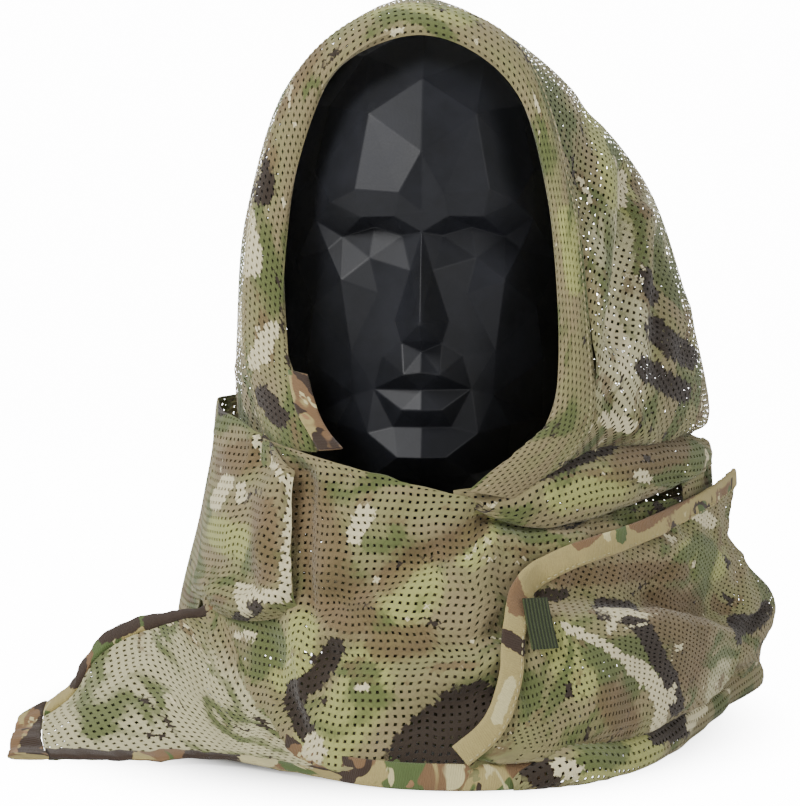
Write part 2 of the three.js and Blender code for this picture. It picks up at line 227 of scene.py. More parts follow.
# ---- Display head: a hollow moulding in large flat facets, satin black plastic, standing on its own
# neck. Both halves of the face match, and its edges are slightly broken, as a mould leaves them.
HEAD_RIM = [
    (56, 0, 8), (50, 70, 12), (55, 112, 14), (58, 126, 8), (63, 140, 6), (66, 150, 4), (68, 162, 2),
    (69, 176, 2), (71, 206, 0), (72, 243, -4), (71, 268, -2), (62, 298, 0), (43, 322, 2), (20, 337, 4),
    (0, 345.8, 5),
]
FACE = {
    "foot": (0, 0, -46), "pit": (0, 96, -34), "under_chin": (0, 122, -76), "chin": (0, 133, -89),
    "chin_top": (0, 146, -80), "low_lip": (0, 154, -87), "mouth": (0, 163, -83),
    "high_lip": (0, 171, -90), "lip_groove": (0, 180, -84), "nose_foot": (0, 185, -92),
    "nose_tip": (0, 193, -101), "bridge": (0, 215, -93), "nasion": (0, 233, -83),
    "brow_mid": (0, 242, -87), "front_mid": (0, 268, -88), "front_top": (0, 302, -73),
    "crown": (0, 332, -40),
    "wing_low": (9, 184, -82), "wing": (12, 194, -81), "bridge_side": (5, 216, -86),
    "eye_in": (9, 232, -76), "lid": (22, 236, -70), "eye_out": (37, 232, -62),
    "eye_low": (24, 222, -73), "brow_in": (12, 240, -86), "brow_top": (10, 250, -89),
    "brow_out": (42, 247, -71), "brow_end": (50, 240, -58), "brow_low": (27, 240, -79),
    "front_side": (30, 252, -82), "front_high": (24, 286, -77), "temple": (50, 262, -58),
    "temple_high": (44, 292, -52), "skull": (28, 316, -46), "cheek_high": (44, 226, -61),
    "cheek": (37, 212, -72), "cheek_in": (20, 206, -76), "cheek_low": (33, 180, -67),
    "cheek_out": (52, 200, -50), "ear": (62, 222, -30), "jaw_high": (55, 176, -44),
    "fold": (18, 178, -76), "lip_side": (8, 170, -88), "corner": (22, 163, -73),
    "lip_low_side": (9, 154, -84), "dent": (13, 146, -77), "jowl": (32, 160, -66),
    "chin_side": (11, 133, -86), "chin_wide": (25, 143, -74), "chin_foot": (22, 124, -70),
    "jaw": (40, 146, -58), "jaw_low": (38, 127, -52), "jaw_back": (55, 148, -30),
    "neck": (32, 104, -24), "neck_foot": (34, 0, -34),
}
FACE_EDGES = [
    ("brow_in", "brow_low"), ("brow_low", "brow_end"), ("brow_in", "nasion"), ("brow_top", "front_high"),
    ("front_high", "front_side"), ("front_side", "brow_out"), ("brow_out", "brow_end"),
    ("brow_low", "brow_out"), ("eye_in", "lid"), ("lid", "eye_out"), ("eye_out", "eye_low"),
    ("eye_low", "eye_in"), ("eye_in", "bridge_side"), ("bridge_side", "wing"), ("wing", "wing_low"),
    ("wing_low", "nose_foot"), ("cheek", "cheek_low"), ("cheek_in", "cheek_low"), ("cheek_in", "cheek"),
    ("cheek_high", "cheek"), ("cheek_low", "fold"), ("fold", "corner"), ("corner", "mouth"),
    ("corner", "jowl"), ("jowl", "chin_wide"), ("lip_low_side", "corner"), ("lip_side", "corner"),
    ("dent", "chin_wide"), ("chin_side", "chin_foot"), ("chin_foot", "jaw_low"), ("jaw_low", "jaw_back"),
    ("jaw", "jaw_low"), ("temple", "temple_high"), ("temple", "brow_end"), ("cheek_out", "jaw_high"),
    ("cheek_high", "cheek_out"), ("brow_end", "ear"), ("jaw_high", "jaw_back"),
    ("lip_low_side", "dent"), ("chin_side", "dent"), ("dent", "chin_top"),
]
BACK = [
    (0, 0, 66), (30, 0, 58), (0, 70, 63), (28, 80, 56), (0, 124, 81), (30, 126, 72), (0, 160, 90),
    (34, 160, 78), (56, 160, 50), (0, 206, 93), (34, 206, 82), (58, 206, 56), (0, 250, 92),
    (34, 250, 80), (58, 250, 50), (0, 290, 80), (32, 288, 68), (50, 292, 34), (0, 320, 55), (22, 320, 46),
]
MM = 0.001
HEAD_SHIFT = 14 * MM
HEAD_TURN = math.radians(-3)
MOULD_EDGE = 0.5 * MM


def half_sheet(points, edges):
    """Triangles over half of a face or back: points [x, z, y] with the rim first."""
    flat = [Vector((x, z)) for x, z, _ in points]
    rim = len(HEAD_RIM)
    middle = sorted((i for i, p in enumerate(points) if p[0] == 0), key=lambda i: points[i][1])
    ring = list(zip(range(rim - 1), range(1, rim)))
    seam = list(zip(middle[:-1], middle[1:]))
    foot = [i for i in sorted(range(len(points)), key=lambda i: points[i][0]) if points[i][1] == 0]
    base = list(zip(foot[:-1], foot[1:]))
    made = delaunay_2d_cdt(flat, ring + seam + base + edges, [], 0, 1e-4)
    inside = []
    for face in made[2]:
        x, z = sum((made[0][i] for i in face), Vector((0, 0))) / 3
        limit = np.interp(z, [p[1] for p in HEAD_RIM], [p[0] for p in HEAD_RIM])
        if x <= limit:
            inside.append([made[3][i][0] for i in face])
    return inside


def moulded_head():
    points, faces = [], []
    names = {name: len(HEAD_RIM) + k for k, name in enumerate(FACE)}
    edges = [(names[a], names[b]) for a, b in FACE_EDGES]
    front = [*HEAD_RIM, *FACE.values()]
    for sheet, links in ((front, edges), ([*HEAD_RIM, *BACK], [])):
        for side in (1, -1):
            start = len(points)
            points += [(side * x, y, z) for x, z, y in sheet]
            faces += [[start + i for i in face] for face in half_sheet(sheet, links)]
    points = np.array(points, float) * MM * FIT
    turned = points.copy()
    turned[:, 0] = HEAD_SHIFT + math.cos(HEAD_TURN) * points[:, 0] - math.sin(HEAD_TURN) * points[:, 1]
    turned[:, 1] = math.sin(HEAD_TURN) * points[:, 0] + math.cos(HEAD_TURN) * points[:, 1]
    head = mesh_object("display_head", turned, faces)
    shell = bmesh.new()
    shell.from_mesh(head.data)
    bmesh.ops.remove_doubles(shell, verts=shell.verts, dist=0.2 * MM)
    bmesh.ops.holes_fill(shell, edges=[e for e in shell.edges if e.is_boundary], sides=0)
    bmesh.ops.triangulate(shell, faces=[f for f in shell.faces if len(f.verts) > 3])
    bmesh.ops.recalc_face_normals(shell, faces=shell.faces)
    shell.to_mesh(head.data)
    shell.free()
    return head


def black_moulding():
    """Satin black plastic, a little smeared."""
    paint = Shader("satin_black_plastic")
    where = paint.node("ShaderNodeTexCoord", None, output=3)
    grain = paint.noise(where, 900, 2)
    smear = paint.noise(where, 22, 4, 0.6)
    paint.set(
        Base_Color=paint.mix(smear.ramp(0.35, 0.7), linear(25, 26, 29), linear(34, 35, 40)),
        Roughness=0.34 + smear * 0.2 + grain * 0.05,
        Normal=paint.bump(grain, 0.0001, 0.3),
    )
    paint.surface.inputs["Specular IOR Level"].default_value = 0.26
    return paint.material


def bake_modifiers(made):
    """Turns an object with modifiers into a plain mesh."""
    graph = bpy.context.evaluated_depsgraph_get()
    mesh = bpy.data.meshes.new_from_object(made.evaluated_get(graph))
    made.modifiers.clear()
    made.data = mesh
    mesh.name = made.name


def display_head():
    head = moulded_head()
    edge = head.modifiers.new("edge", "BEVEL")
    edge.width, edge.segments, edge.limit_method, edge.angle_limit = MOULD_EDGE, 2, "ANGLE", 0.1
    bake_modifiers(head)
    shade(head, smooth=False)
    head.data.materials.append(black_moulding())
    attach(head, "head")
    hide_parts("head_form")


# Width, depth and height of the head as drawn above, which FIT brings to the frame's own size.
DRAWN_HEAD = (0.1459, 0.1938, 0.3458)
head_low, head_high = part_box("head_form")
FIT = np.array([(head_high[k] - head_low[k]) / DRAWN_HEAD[k] for k in range(3)])
display_head()

# ---- Hood: one piece of knitted mesh, printed in a woodland pattern, laid over the head. The cloth is
# punched with rows of small holes, hugs the crown and hangs as a loose pocket over the wearer's left ear.
CORE = (0.01, 0.0, 0.12)  # a place inside the head, which the cloth's outer side faces away from
HOLE_PITCH = 3.5 * MM
FINE_PITCH = 2.9 * MM
OPEN_SHARE = 0.39  # a hole's width, as a share of its cell's
SLIVER = 0.04  # a cell with less than this share of its area is left out
WHOLE_CELL = 0.3  # and one with less than this share isn't punched
CLOTH = 0.6 * MM


def four(a, b, c, d, t):
    """A place between b and c, at t from 0 to 1, on the smooth curve through all four."""
    return 0.5 * (
        2 * b + (c - a) * t + (2 * a - 5 * b + 4 * c - d) * t**2 + (3 * (b - c) + d - a) * t**3
    )


def padded_ends(points):
    """The points with one more at each end, straight on."""
    points = np.asarray(points, float)
    return np.concatenate([[2 * points[0] - points[1]], points, [2 * points[-1] - points[-2]]])


def through(points, t):
    """Points on the smooth curve through a list of points, at each t from 0 to 1."""
    points = padded_ends(points)
    place = np.clip(np.asarray(t, float), 0, 1) * (len(points) - 3)
    i = np.minimum(place.astype(int), len(points) - 4)
    share = (place - i).reshape(place.shape + (1,) * (points.ndim - 1))
    return four(points[i], points[i + 1], points[i + 2], points[i + 3], share)


def net_grid(arches, columns, rows):
    """Rows of points, in metres, of the surface through a list of arches of guide points in mm."""
    arches = np.asarray(arches, float) * MM * FIT
    along = through(arches.swapaxes(0, 1), np.linspace(0, 1, columns))
    return through(along.swapaxes(0, 1), np.linspace(0, 1, rows))


def normals_of(grid, core=CORE):
    """Normals of a grid of points, on the side that faces away from its core."""
    normal = np.cross(np.gradient(grid, axis=1), np.gradient(grid, axis=0))
    normal /= np.linalg.norm(normal, axis=2, keepdims=True) + 1e-12
    outward = ((grid - np.array(core)) * normal).sum(axis=2).mean()
    return normal if outward > 0 else -normal


def nearness(grid, path, width):
    """1 on a path of points [x, z] in mm, as seen from the front, and falling to 0 a width away."""
    path = np.asarray(path, float) * MM
    seen = grid[..., [0, 2]]
    nearest = np.full(grid.shape[:2], 1e9)
    for a, b in zip(path[:-1], path[1:]):
        way = b - a
        share = np.clip(((seen - a) @ way) / (way @ way), 0, 1)
        gap = np.linalg.norm(seen - a - share[..., None] * way, axis=2)
        nearest = np.minimum(nearest, gap)
    return np.exp(-((nearest / (width * MM)) ** 2))


FOLD_FADE = 30 * MM


def fold(grid, creases, core=CORE, back=90 * MM):
    """The grid moved along its normals by creases: each a path, a width and a height in mm. Creases
    fade out towards a depth, back, because they are drawn from the front."""
    height = sum(nearness(grid, path, width) * deep * MM for path, width, deep in creases)
    height = height * np.clip((back - grid[..., 1]) / FOLD_FADE, 0, 1)
    return grid + normals_of(grid, core) * height[..., None]


SETTLING_FRAMES = 24
FURTHEST_ASIDE = 3 * MM


def settle(grid, spare, inward, outward, core=CORE):
    """The grid after its cloth, cut larger by the spare share, has buckled between its four edges.
    A point moves no further than the inward and outward limits, in mm."""
    rows, columns = grid.shape[:2]
    number = np.arange(rows * columns).reshape(rows, columns)
    corners = [number[:-1, :-1], number[:-1, 1:], number[1:, 1:], number[1:, :-1]]
    faces = np.stack([c.ravel() for c in corners], axis=1).tolist()
    cloth = mesh_object("settling", grid.reshape(-1, 3), faces)
    group = cloth.vertex_groups.new(name="held")
    for edge in (number[0], number[-1], number[:, 0], number[:, -1]):
        group.add(edge.tolist(), 1.0, "REPLACE")
    modifier = cloth.modifiers.new("cloth", "CLOTH")
    settings = modifier.settings
    settings.quality = 6
    settings.mass = 0.15
    settings.tension_stiffness = settings.compression_stiffness = 12
    settings.shear_stiffness = 4
    settings.bending_stiffness = 0.06
    settings.air_damping = 2
    settings.vertex_group_mass = "held"
    settings.shrink_min = settings.shrink_max = -spare
    settings.effector_weights.gravity = 0.4
    modifier.point_cache.frame_start = 1
    modifier.point_cache.frame_end = SETTLING_FRAMES
    scene = bpy.context.scene
    for frame_number in range(1, SETTLING_FRAMES + 1):
        scene.frame_set(frame_number)
    flat = np.empty(rows * columns * 3)
    graph = bpy.context.evaluated_depsgraph_get()
    cloth.evaluated_get(graph).data.vertices.foreach_get("co", flat)
    scene.frame_set(1)
    bpy.data.objects.remove(cloth)
    moved = flat.reshape(grid.shape) - grid
    normal = normals_of(grid, core)
    rise = (moved * normal).sum(axis=2)
    aside = moved - rise[..., None] * normal
    limit = np.where(rise > 0, outward, inward) * MM
    rise = limit * np.tanh(rise / np.maximum(limit, 1e-6))
    reach = np.linalg.norm(aside, axis=2, keepdims=True) + 1e-12
    aside *= np.minimum(1, FURTHEST_ASIDE / reach)
    return grid + rise[..., None] * normal + aside


def cloth_object(name, points, faces, flat):
    """An object of points and faces, with each point's place on the flat cloth, in metres, kept in
    tenths of a metre as a UV map."""
    made = mesh_object(name, points, faces)
    corner = np.empty(len(made.data.loops), int)
    made.data.loops.foreach_get("vertex_index", corner)
    layer = made.data.uv_layers.new(name="cloth")
    layer.data.foreach_set("uv", (flat[corner] * 10).ravel())
    return made


def join(made, other):
    """Adds another object's mesh to an object's own."""
    both = bmesh.new()
    both.from_mesh(made.data)
    both.from_mesh(other.data)
    both.to_mesh(made.data)
    both.free()
    bpy.data.objects.remove(other)


def run_length(line):
    """Distance along a line of points, from its start to each point."""
    return np.concatenate([[0], np.linalg.norm(np.diff(line, axis=0), axis=1).cumsum()])


def lattice(name, grid, print_at=(0, 0), diagonal=True, level=False, pitch=HOLE_PITCH):
    """The knitted cells of a sheet, each a face to punch, and the sheet's flat size and area. Columns
    stand one step apart on every row, counted from its middle, and rows one step apart down each
    column, counted from the first row or from a level line. print_at moves the sheet's print."""
    step = pitch / math.sqrt(2) if diagonal else pitch
    shares = np.linspace(0, 1, 3 * grid.shape[0])
    dense = through(grid, shares)
    runs = [run_length(row) for row in dense]
    longest = max(run[-1] for run in runs)
    columns = int(math.ceil(longest / step)) + 2
    first = int(round(columns / 2))
    stops = (np.arange(columns + 1) - first) * step
    lines = np.empty((columns + 1, len(dense), 3))
    for i, (row, run) in enumerate(zip(dense, runs)):
        at = np.clip(stops + run[-1] / 2, 0, run[-1])
        for axis in range(3):
            lines[:, i, axis] = np.interp(at, run, row[:, axis])
    drops = [run_length(line) for line in lines]
    tops = lines[:, 0, 2].max() - lines[:, 0, 2] if level else np.zeros(columns + 1)
    steps = int(math.ceil(max(top + drop[-1] for top, drop in zip(tops, drops)) / step)) + 1
    points, flat = [], []
    for j, (line, drop, top) in enumerate(zip(lines, drops, tops)):
        at = np.clip(step * np.arange(steps + 1) - top, 0, drop[-1])
        points.append(np.stack([np.interp(at, drop, line[:, axis]) for axis in range(3)], axis=1))
        flat.append(np.stack([np.full(steps + 1, j * step), at + top], axis=1))

    def spot(j, k):
        return min(max(j, 0), columns) * (steps + 1) + min(max(k, 0), steps)

    if diagonal:
        centres = [(j, k) for j in range(columns + 1) for k in range(steps + 1) if (j + k) % 2]
        around = ((-1, 0), (0, -1), (1, 0), (0, 1))
    else:
        centres = [(j, k) for j in range(columns) for k in range(steps)]
        around = ((0, 0), (1, 0), (1, 1), (0, 1))
    points, flat = np.concatenate(points), np.concatenate(flat)
    cells = np.array([[spot(j + a, k + b) for a, b in around] for j, k in centres])
    sides = points[cells[:, 2]] - points[cells[:, 0]], points[cells[:, 3]] - points[cells[:, 1]]
    areas = np.linalg.norm(np.cross(*sides), axis=1) / 2
    kept = cells[areas > SLIVER * HOLE_PITCH**2]
    faces = [tuple(dict.fromkeys(cell)) for cell in kept.tolist()]
    made = cloth_object(name, points, faces, flat + np.array(print_at))
    weld = made.modifiers.new("weld", "WELD")
    weld.merge_threshold = 0.1 * MM
    size = (float(longest), float(max(drop[-1] for drop in drops)))
    return made, size, float(areas.sum())


def double(made, grid, gap, print_at, core=CORE, diagonal=True, pitch=HOLE_PITCH):
    """Joins a second layer of cloth inside the first, a gap away, and gives its area."""
    inner = grid - normals_of(grid, core) * gap
    turned, _, area = lattice(made.name + "_inner", inner, print_at, diagonal, pitch=pitch)
    join(made, turned)
    return area


def node_tree(name, **inputs):
    """A tree that takes geometry, named inputs and a material, and gives geometry."""
    tree = bpy.data.node_groups.new(name, "GeometryNodeTree")
    for label, kind in {"Geometry": "Geometry", **inputs, "Material": "Material"}.items():
        kind = "NodeSocket" + kind
        tree.interface.new_socket(label.replace("_", " "), in_out="INPUT", socket_type=kind)
    tree.interface.new_socket("Geometry", in_out="OUTPUT", socket_type="NodeSocketGeometry")
    return tree


def link_all(tree, *links):
    """Joins nodes: each link is a node, its output, the next node and its input."""
    for node, output, next_node, name in links:
        tree.links.new(node.outputs[output], next_node.inputs[name])


def punching():
    """Node tree that cuts a hole in each cell and shades the cloth smooth."""
    tree = node_tree("punched mesh", Hole_share="Float", Smallest_cell="Float")
    make = tree.nodes.new
    given, result = make("NodeGroupInput"), make("NodeGroupOutput")
    area, big = make("GeometryNodeInputMeshFaceArea"), make("FunctionNodeCompare")
    extrude, scale = make("GeometryNodeExtrudeMesh"), make("GeometryNodeScaleElements")
    delete, realize = make("GeometryNodeDeleteGeometry"), make("GeometryNodeRealizeInstances")
    smooth, paint = make("GeometryNodeSetShadeSmooth"), make("GeometryNodeSetMaterial")
    extrude.mode = "FACES"
    extrude.inputs["Individual"].default_value = True
    extrude.inputs["Offset Scale"].default_value = 0.0
    delete.domain = "FACE"
    big.data_type, big.operation = "FLOAT", "GREATER_THAN"
    link_all(
        tree,
        (area, "Area", big, "A"), (given, "Smallest cell", big, "B"),
        (given, "Geometry", extrude, "Mesh"), (big, "Result", extrude, "Selection"),
        (extrude, "Mesh", scale, "Geometry"), (extrude, "Top", scale, "Selection"),
        (given, "Hole share", scale, "Scale"), (scale, "Geometry", delete, "Geometry"),
        (extrude, "Top", delete, "Selection"), (delete, "Geometry", realize, "Geometry"),
        (realize, "Geometry", smooth, "Geometry"), (smooth, "Geometry", paint, "Geometry"),
        (given, "Material", paint, "Material"), (paint, "Geometry", result, "Geometry"),
    )
    return tree


def run_nodes(made, tree, values):
    """Adds a node tree to an object, with its inputs set by name."""
    modifier = made.modifiers.new(tree.name, "NODES")
    modifier.node_group = tree
    for item in tree.interface.items_tree:
        if item.name in values:
            modifier[item.identifier] = values[item.name]


def punch(made, thickness):
    """Punches a lattice's cells and gives the cloth its thickness, as a plain mesh."""
    whole = WHOLE_CELL * HOLE_PITCH**2
    values = {"Hole share": OPEN_SHARE, "Smallest cell": whole, "Material": MESH_CLOTH}
    run_nodes(made, PUNCHING, values)
    if thickness:
        wall = made.modifiers.new("thickness", "SOLIDIFY")
        wall.thickness = thickness
        wall.offset = 0.0
    bake_modifiers(made)
    made.data.set_sharp_from_angle(angle=math.radians(50))


# Mark colours. Most marks are print; a few dark and brown marks are painted shade in creases and hollows,
# and a few cream marks are a painted highlight along a fold's edge.
INKS = ("dark", "cream", "brown", "lime", "pale")
PRINT_ENDS_LEFT = -20 * MM
PRINT_ENDS_RIGHT = 60 * MM
PRINT_FADE = 30 * MM


def places_of(made):
    """An object's points, as an array."""
    flat = np.empty(len(made.data.vertices) * 3)
    made.data.vertices.foreach_get("co", flat)
    return flat.reshape(-1, 3)


def paint_marks(made, marks):
    """Stores how near each point lies to the marks of each colour, as attributes: printed marks, and on
    some pieces painted shade in creases and hollows and a painted highlight along a fold's edge. Marks
    are drawn from the front, and fade out on the sides of the hood and the wrap."""
    points = places_of(made)
    end = np.where(points[:, 0] < 0, PRINT_ENDS_LEFT, PRINT_ENDS_RIGHT)
    seen = np.clip((end - points[:, 1]) / PRINT_FADE, 0, 1)
    for ink in INKS:
        best = np.zeros(len(points))
        for path, width in marks.get(ink, ()):
            best = np.maximum(best, nearness(points[:, None], path, width)[:, 0] * seen)
        layer = made.data.attributes.new("print_" + ink, "FLOAT", "POINT")
        layer.data.foreach_set("value", best.astype(np.float32))


def mesh_cloth_paint(name):
    """Printed mesh cloth: khaki ground with olive and tan clouds, dark brown and cream marks. On some
    pieces the dark and brown marks are painted shade and the cream marks a painted highlight.
    """
    paint = Shader(name)
    where = paint.node("ShaderNodeUVMap", {"uv_map": "cloth"})
    clouds = paint.noise(paint.stretch(where, (0.9, 1.6, 1)), 1.9, 3, 0.55, 0.6)
    green = paint.noise(paint.stretch(where, (1.0, 1.7, 1), (3.1, 1.7, 0)), 2.3, 3, 0.5, 0.8)
    twig = paint.noise(paint.stretch(where, (0.9, 1.7, 1), (7.3, 2.9, 0), 0.5), 3.0, 4, 0.55, 1.2)
    fleck = paint.noise(paint.stretch(where, (1.0, 1.8, 1), (1.9, 8.4, 0), -0.4), 3.4, 4, 0.5, 1.0)
    edge = paint.noise(where, 26, 2)
    ragged = (edge - 0.5) * 0.6
    near = {ink: paint.attribute("print_" + ink) + ragged for ink in INKS}
    ground = paint.mix(clouds.ramp(0.38, 0.62), linear(*TAN), linear(*KHAKI))
    ground = paint.mix(near["lime"].ramp(0.2, 0.7), ground, linear(*LIME))
    ground = paint.mix(near["pale"].ramp(0.1, 0.6), ground, linear(*PALE))
    ground = paint.mix(green.ramp(0.5, 0.6) * 0.9, ground, linear(*OLIVE))
    # The brown, dark and cream masks take the pieces' marks, which hold painted shade and a painted
    # highlight as well as print.
    umber = (clouds * 0.5 + fleck * 0.5).ramp(0.56, 0.62)
    ground = paint.mix(umber.largest(near["brown"].ramp(0.2, 0.7)) * 0.8, ground, linear(*BROWN))
    dark = (twig + ragged * 0.1).ramp(0.645, 0.665).largest(near["dark"].ramp(0.4, 0.5))
    cream = (fleck + ragged * 0.1).ramp(0.665, 0.685).largest(near["cream"].ramp(0.4, 0.5))
    colour = paint.mix(dark, ground, linear(*BARK))
    colour = paint.mix(cream, colour, linear(*CREAM))
    thread = paint.noise(where, 420, 2)
    colour = paint.mix(thread * 0.3, colour, linear(58, 54, 38))
    ribs = (paint.axis(where, 1) * 900.0).wave()
    paint.set(
        Base_Color=colour,
        Roughness=0.82 + thread * 0.15,
        Normal=paint.bump(ribs * 0.4 + thread, 0.0003, 0.5),
    )
    paint.surface.inputs["Sheen Weight"].default_value = 0.2
    paint.surface.inputs["Sheen Roughness"].default_value = 0.5
    paint.surface.inputs["Specular IOR Level"].default_value = 0.2
    return paint.material


# Print colours; BROWN and BARK also colour the painted shade, and CREAM the painted highlight, in some
# pieces' marks.
TAN, KHAKI, OLIVE, LIME = (146, 133, 100), (140, 137, 94), (92, 103, 60), (168, 170, 104)
BROWN, BARK, CREAM, PALE = (116, 96, 70), (56, 47, 41), (222, 212, 172), (196, 190, 150)
MESH_CLOTH = mesh_cloth_paint("printed_mesh_cloth")
PUNCHING = punching()

OPENING_ARCH = [
    (-45, -82, 158), (-53, -71, 190), (-49, -70, 252), (-31, -73, 305), (9, -75, 323),
    (50, -77, 302), (66, -83, 252), (71, -90, 190), (68, -95, 156),
]
SEAM_ARCH = [
    (-67, -57, 158), (-72, -58, 190), (-66, -61, 252), (-43, -60, 311), (3, -55, 338),
    (53, -64, 318), (76, -76, 255), (84, -84, 190), (86, -86, 154),
]
HOOD_ARCHES = [
    SEAM_ARCH,
    [(-78, -20, 142), (-79, -22, 195), (-73, -25, 250), (-50, -25, 312), (5, -20, 348),
     (62, -30, 321), (94, -42, 276), (108, -52, 215), (116, -60, 147)],
    [(-80, 15, 142), (-80, 15, 195), (-74, 12, 250), (-51, 12, 314), (6, 15, 348),
     (69, 8, 319), (112, 0, 272), (136, -8, 212), (146, -14, 147)],
    [(-78, 48, 142), (-77, 48, 195), (-72, 50, 250), (-47, 52, 308), (10, 58, 336),
     (79, 50, 305), (124, 42, 260), (144, 40, 205), (159, 38, 147)],
    [(-74, 70, 142), (-74, 74, 180), (-68, 80, 222), (-42, 92, 268), (12, 99, 290),
     (66, 92, 266), (104, 80, 226), (130, 72, 185), (148, 64, 147)],
    [(-66, 86, 142), (-64, 90, 160), (-54, 98, 185), (-30, 108, 208), (10, 113, 220),
     (50, 110, 206), (88, 100, 185), (116, 90, 165), (132, 82, 146)],
    [(-56, 96, 140), (-46, 104, 140), (-34, 110, 140), (-14, 115, 140), (10, 118, 140),
     (36, 117, 141), (62, 113, 142), (88, 106, 143), (112, 97, 144)],
]


def tucked(arch, left, right, deeper):
    """An arch of guide points with its ends carried on down inside the neck wrap."""
    start, end = np.array(arch[0]), np.array(arch[-1])
    return [tuple(start + left), *arch, tuple(end + right), tuple(end + deeper)]


TUCKED_OPENING = tucked(OPENING_ARCH, (7, -8, -22), (-13, -12, -16), (-38, -24, -35))
TUCKED_ARCHES = [
    tucked(SEAM_ARCH, (6, -6, -22), (-9, -6, -18), (-28, -14, -38)),
    *(tucked(arch, (4, 0, -12), (-15, 4, -12), (-22, 4, -34)) for arch in HOOD_ARCHES[1:]),
]


def dress(made, size, area, body, node, marks, thickness=CLOTH):
    paint_marks(made, marks)
    punch(made, thickness)
    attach(made, body)
    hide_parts(node)


HOOD_FOLDS = [
    ([(110, 262), (107, 236), (101, 205), (97, 186)], 5, -8),
    ([(116, 244), (113, 212), (107, 184)], 5, 4.5),
    ([(124, 228), (121, 204), (118, 176)], 4, -4),
    ([(96, 262), (93, 230), (88, 200), (84, 170)], 5, 3.5),
    ([(138, 196), (128, 182), (110, 172)], 6, 3),
    ([(136, 178), (118, 164), (96, 158)], 5, -3.5),
    ([(92, 294), (86, 276), (80, 252)], 5, -2.5),
]
BEHIND_BAND = 8  # rows of the hood's grid that the face band covers
LAYERS_APART = 3.5 * MM
HOOD_LAYERS = 1.8  # the inner layer is a little shorter than the outer one


def hood():
    grid = net_grid(TUCKED_ARCHES, 70, 40)
    grid = grid - normals_of(grid) * 0.8 * MM
    grid = settle(grid, 0.04, 0.4, 3.0)
    grid = fold(grid, HOOD_FOLDS)
    made, size, area = lattice("hood_cloth", grid)
    area += double(made, grid[BEHIND_BAND:], LAYERS_APART, (1.3, 0.7))
    size = (size[0], size[1] * HOOD_LAYERS)
    dress(made, size, area, "scarf", "hood_mesh", {
        "dark": [
            ([(118, 190), (128, 182), (140, 176)], 7), ([(112, 172), (122, 166), (134, 160)], 6),
            ([(118, 205), (114, 214)], 5), ([(-74, 262), (-68, 250)], 6),
        ],
        "cream": [
            ([(98, 318), (104, 308)], 4), ([(106, 262), (104, 250)], 4),
            ([(96, 196), (100, 184), (102, 172)], 4), ([(92, 150), (104, 146)], 4),
            ([(-78, 205), (-76, 185)], 5),
        ],
        "lime": [([(94, 290), (104, 250), (100, 200)], 10)],
        "pale": [([(98, 232), (104, 200), (100, 164)], 12), ([(128, 250), (136, 220)], 9)],
    }, thickness=0)


hood()

# ---- Hood's face band: the edge of the mesh turned back twice into a soft roll about 20 mm wide, and
# run down with one row of tan thread.
THREAD = Shader("tan_thread")
THREAD.set(
    Base_Color=THREAD.mix(
        THREAD.noise(THREAD.node("ShaderNodeTexCoord", None, output=3), 700, 2),
        linear(150, 140, 100), linear(186, 176, 134),
    ),
    Roughness=0.8,
)


def stitching():
    """Node tree that lays a row of stitches along the edges it is given."""
    tree = node_tree("stitches", Spacing="Float", Stitch="Vector")
    make = tree.nodes.new
    given, result = make("NodeGroupInput"), make("NodeGroupOutput")
    curve, resample = make("GeometryNodeMeshToCurve"), make("GeometryNodeResampleCurve")
    bead, place = make("GeometryNodeMeshUVSphere"), make("GeometryNodeInstanceOnPoints")
    tangent, turn = make("GeometryNodeInputTangent"), make("FunctionNodeAlignRotationToVector")
    realize, paint = make("GeometryNodeRealizeInstances"), make("GeometryNodeSetMaterial")
    resample.mode = "LENGTH"
    turn.axis = "X"
    bead.inputs["Segments"].default_value = 6
    bead.inputs["Rings"].default_value = 5
    bead.inputs["Radius"].default_value = 1.0
    link_all(
        tree,
        (given, "Geometry", curve, "Mesh"), (curve, "Curve", resample, "Curve"),
        (given, "Spacing", resample, "Length"), (resample, "Curve", place, "Points"),
        (bead, "Mesh", place, "Instance"), (tangent, "Tangent", turn, "Vector"),
        (turn, "Rotation", place, "Rotation"), (given, "Stitch", place, "Scale"),
        (place, "Instances", realize, "Geometry"), (realize, "Geometry", paint, "Geometry"),
        (given, "Material", paint, "Material"), (paint, "Geometry", result, "Geometry"),
    )
    return tree


STITCHING = stitching()
STITCH = (1.1 * MM, 0.35 * MM, 0.35 * MM)  # half a stitch's length, width and height


def stitch_row(name, line, body):
    """A row of stitches along a line of points."""
    edges = [(k, k + 1) for k in range(len(line) - 1)]
    made = mesh_object(name, line, [], edges)
    run_nodes(made, STITCHING, {"Spacing": 3.2 * MM, "Stitch": STITCH, "Material": THREAD.material})
    bake_modifiers(made)
    shade(made)
    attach(made, body)
    return made


# The band's section, from the stitched edge round the rolled edge and back under it: each a share of
# the band's width, from its rolled edge, and a height in mm.
BAND_PROFILE = [
    (1.0, 0.3), (0.85, 1.3), (0.65, 2.1), (0.45, 2.2), (0.25, 1.7), (0.12, 0.8), (0.03, -0.6),
    (0.0, -1.9), (0.04, -3.1), (0.15, -3.7), (0.4, -3.2), (0.7, -2.9), (1.0, -3.6),
]


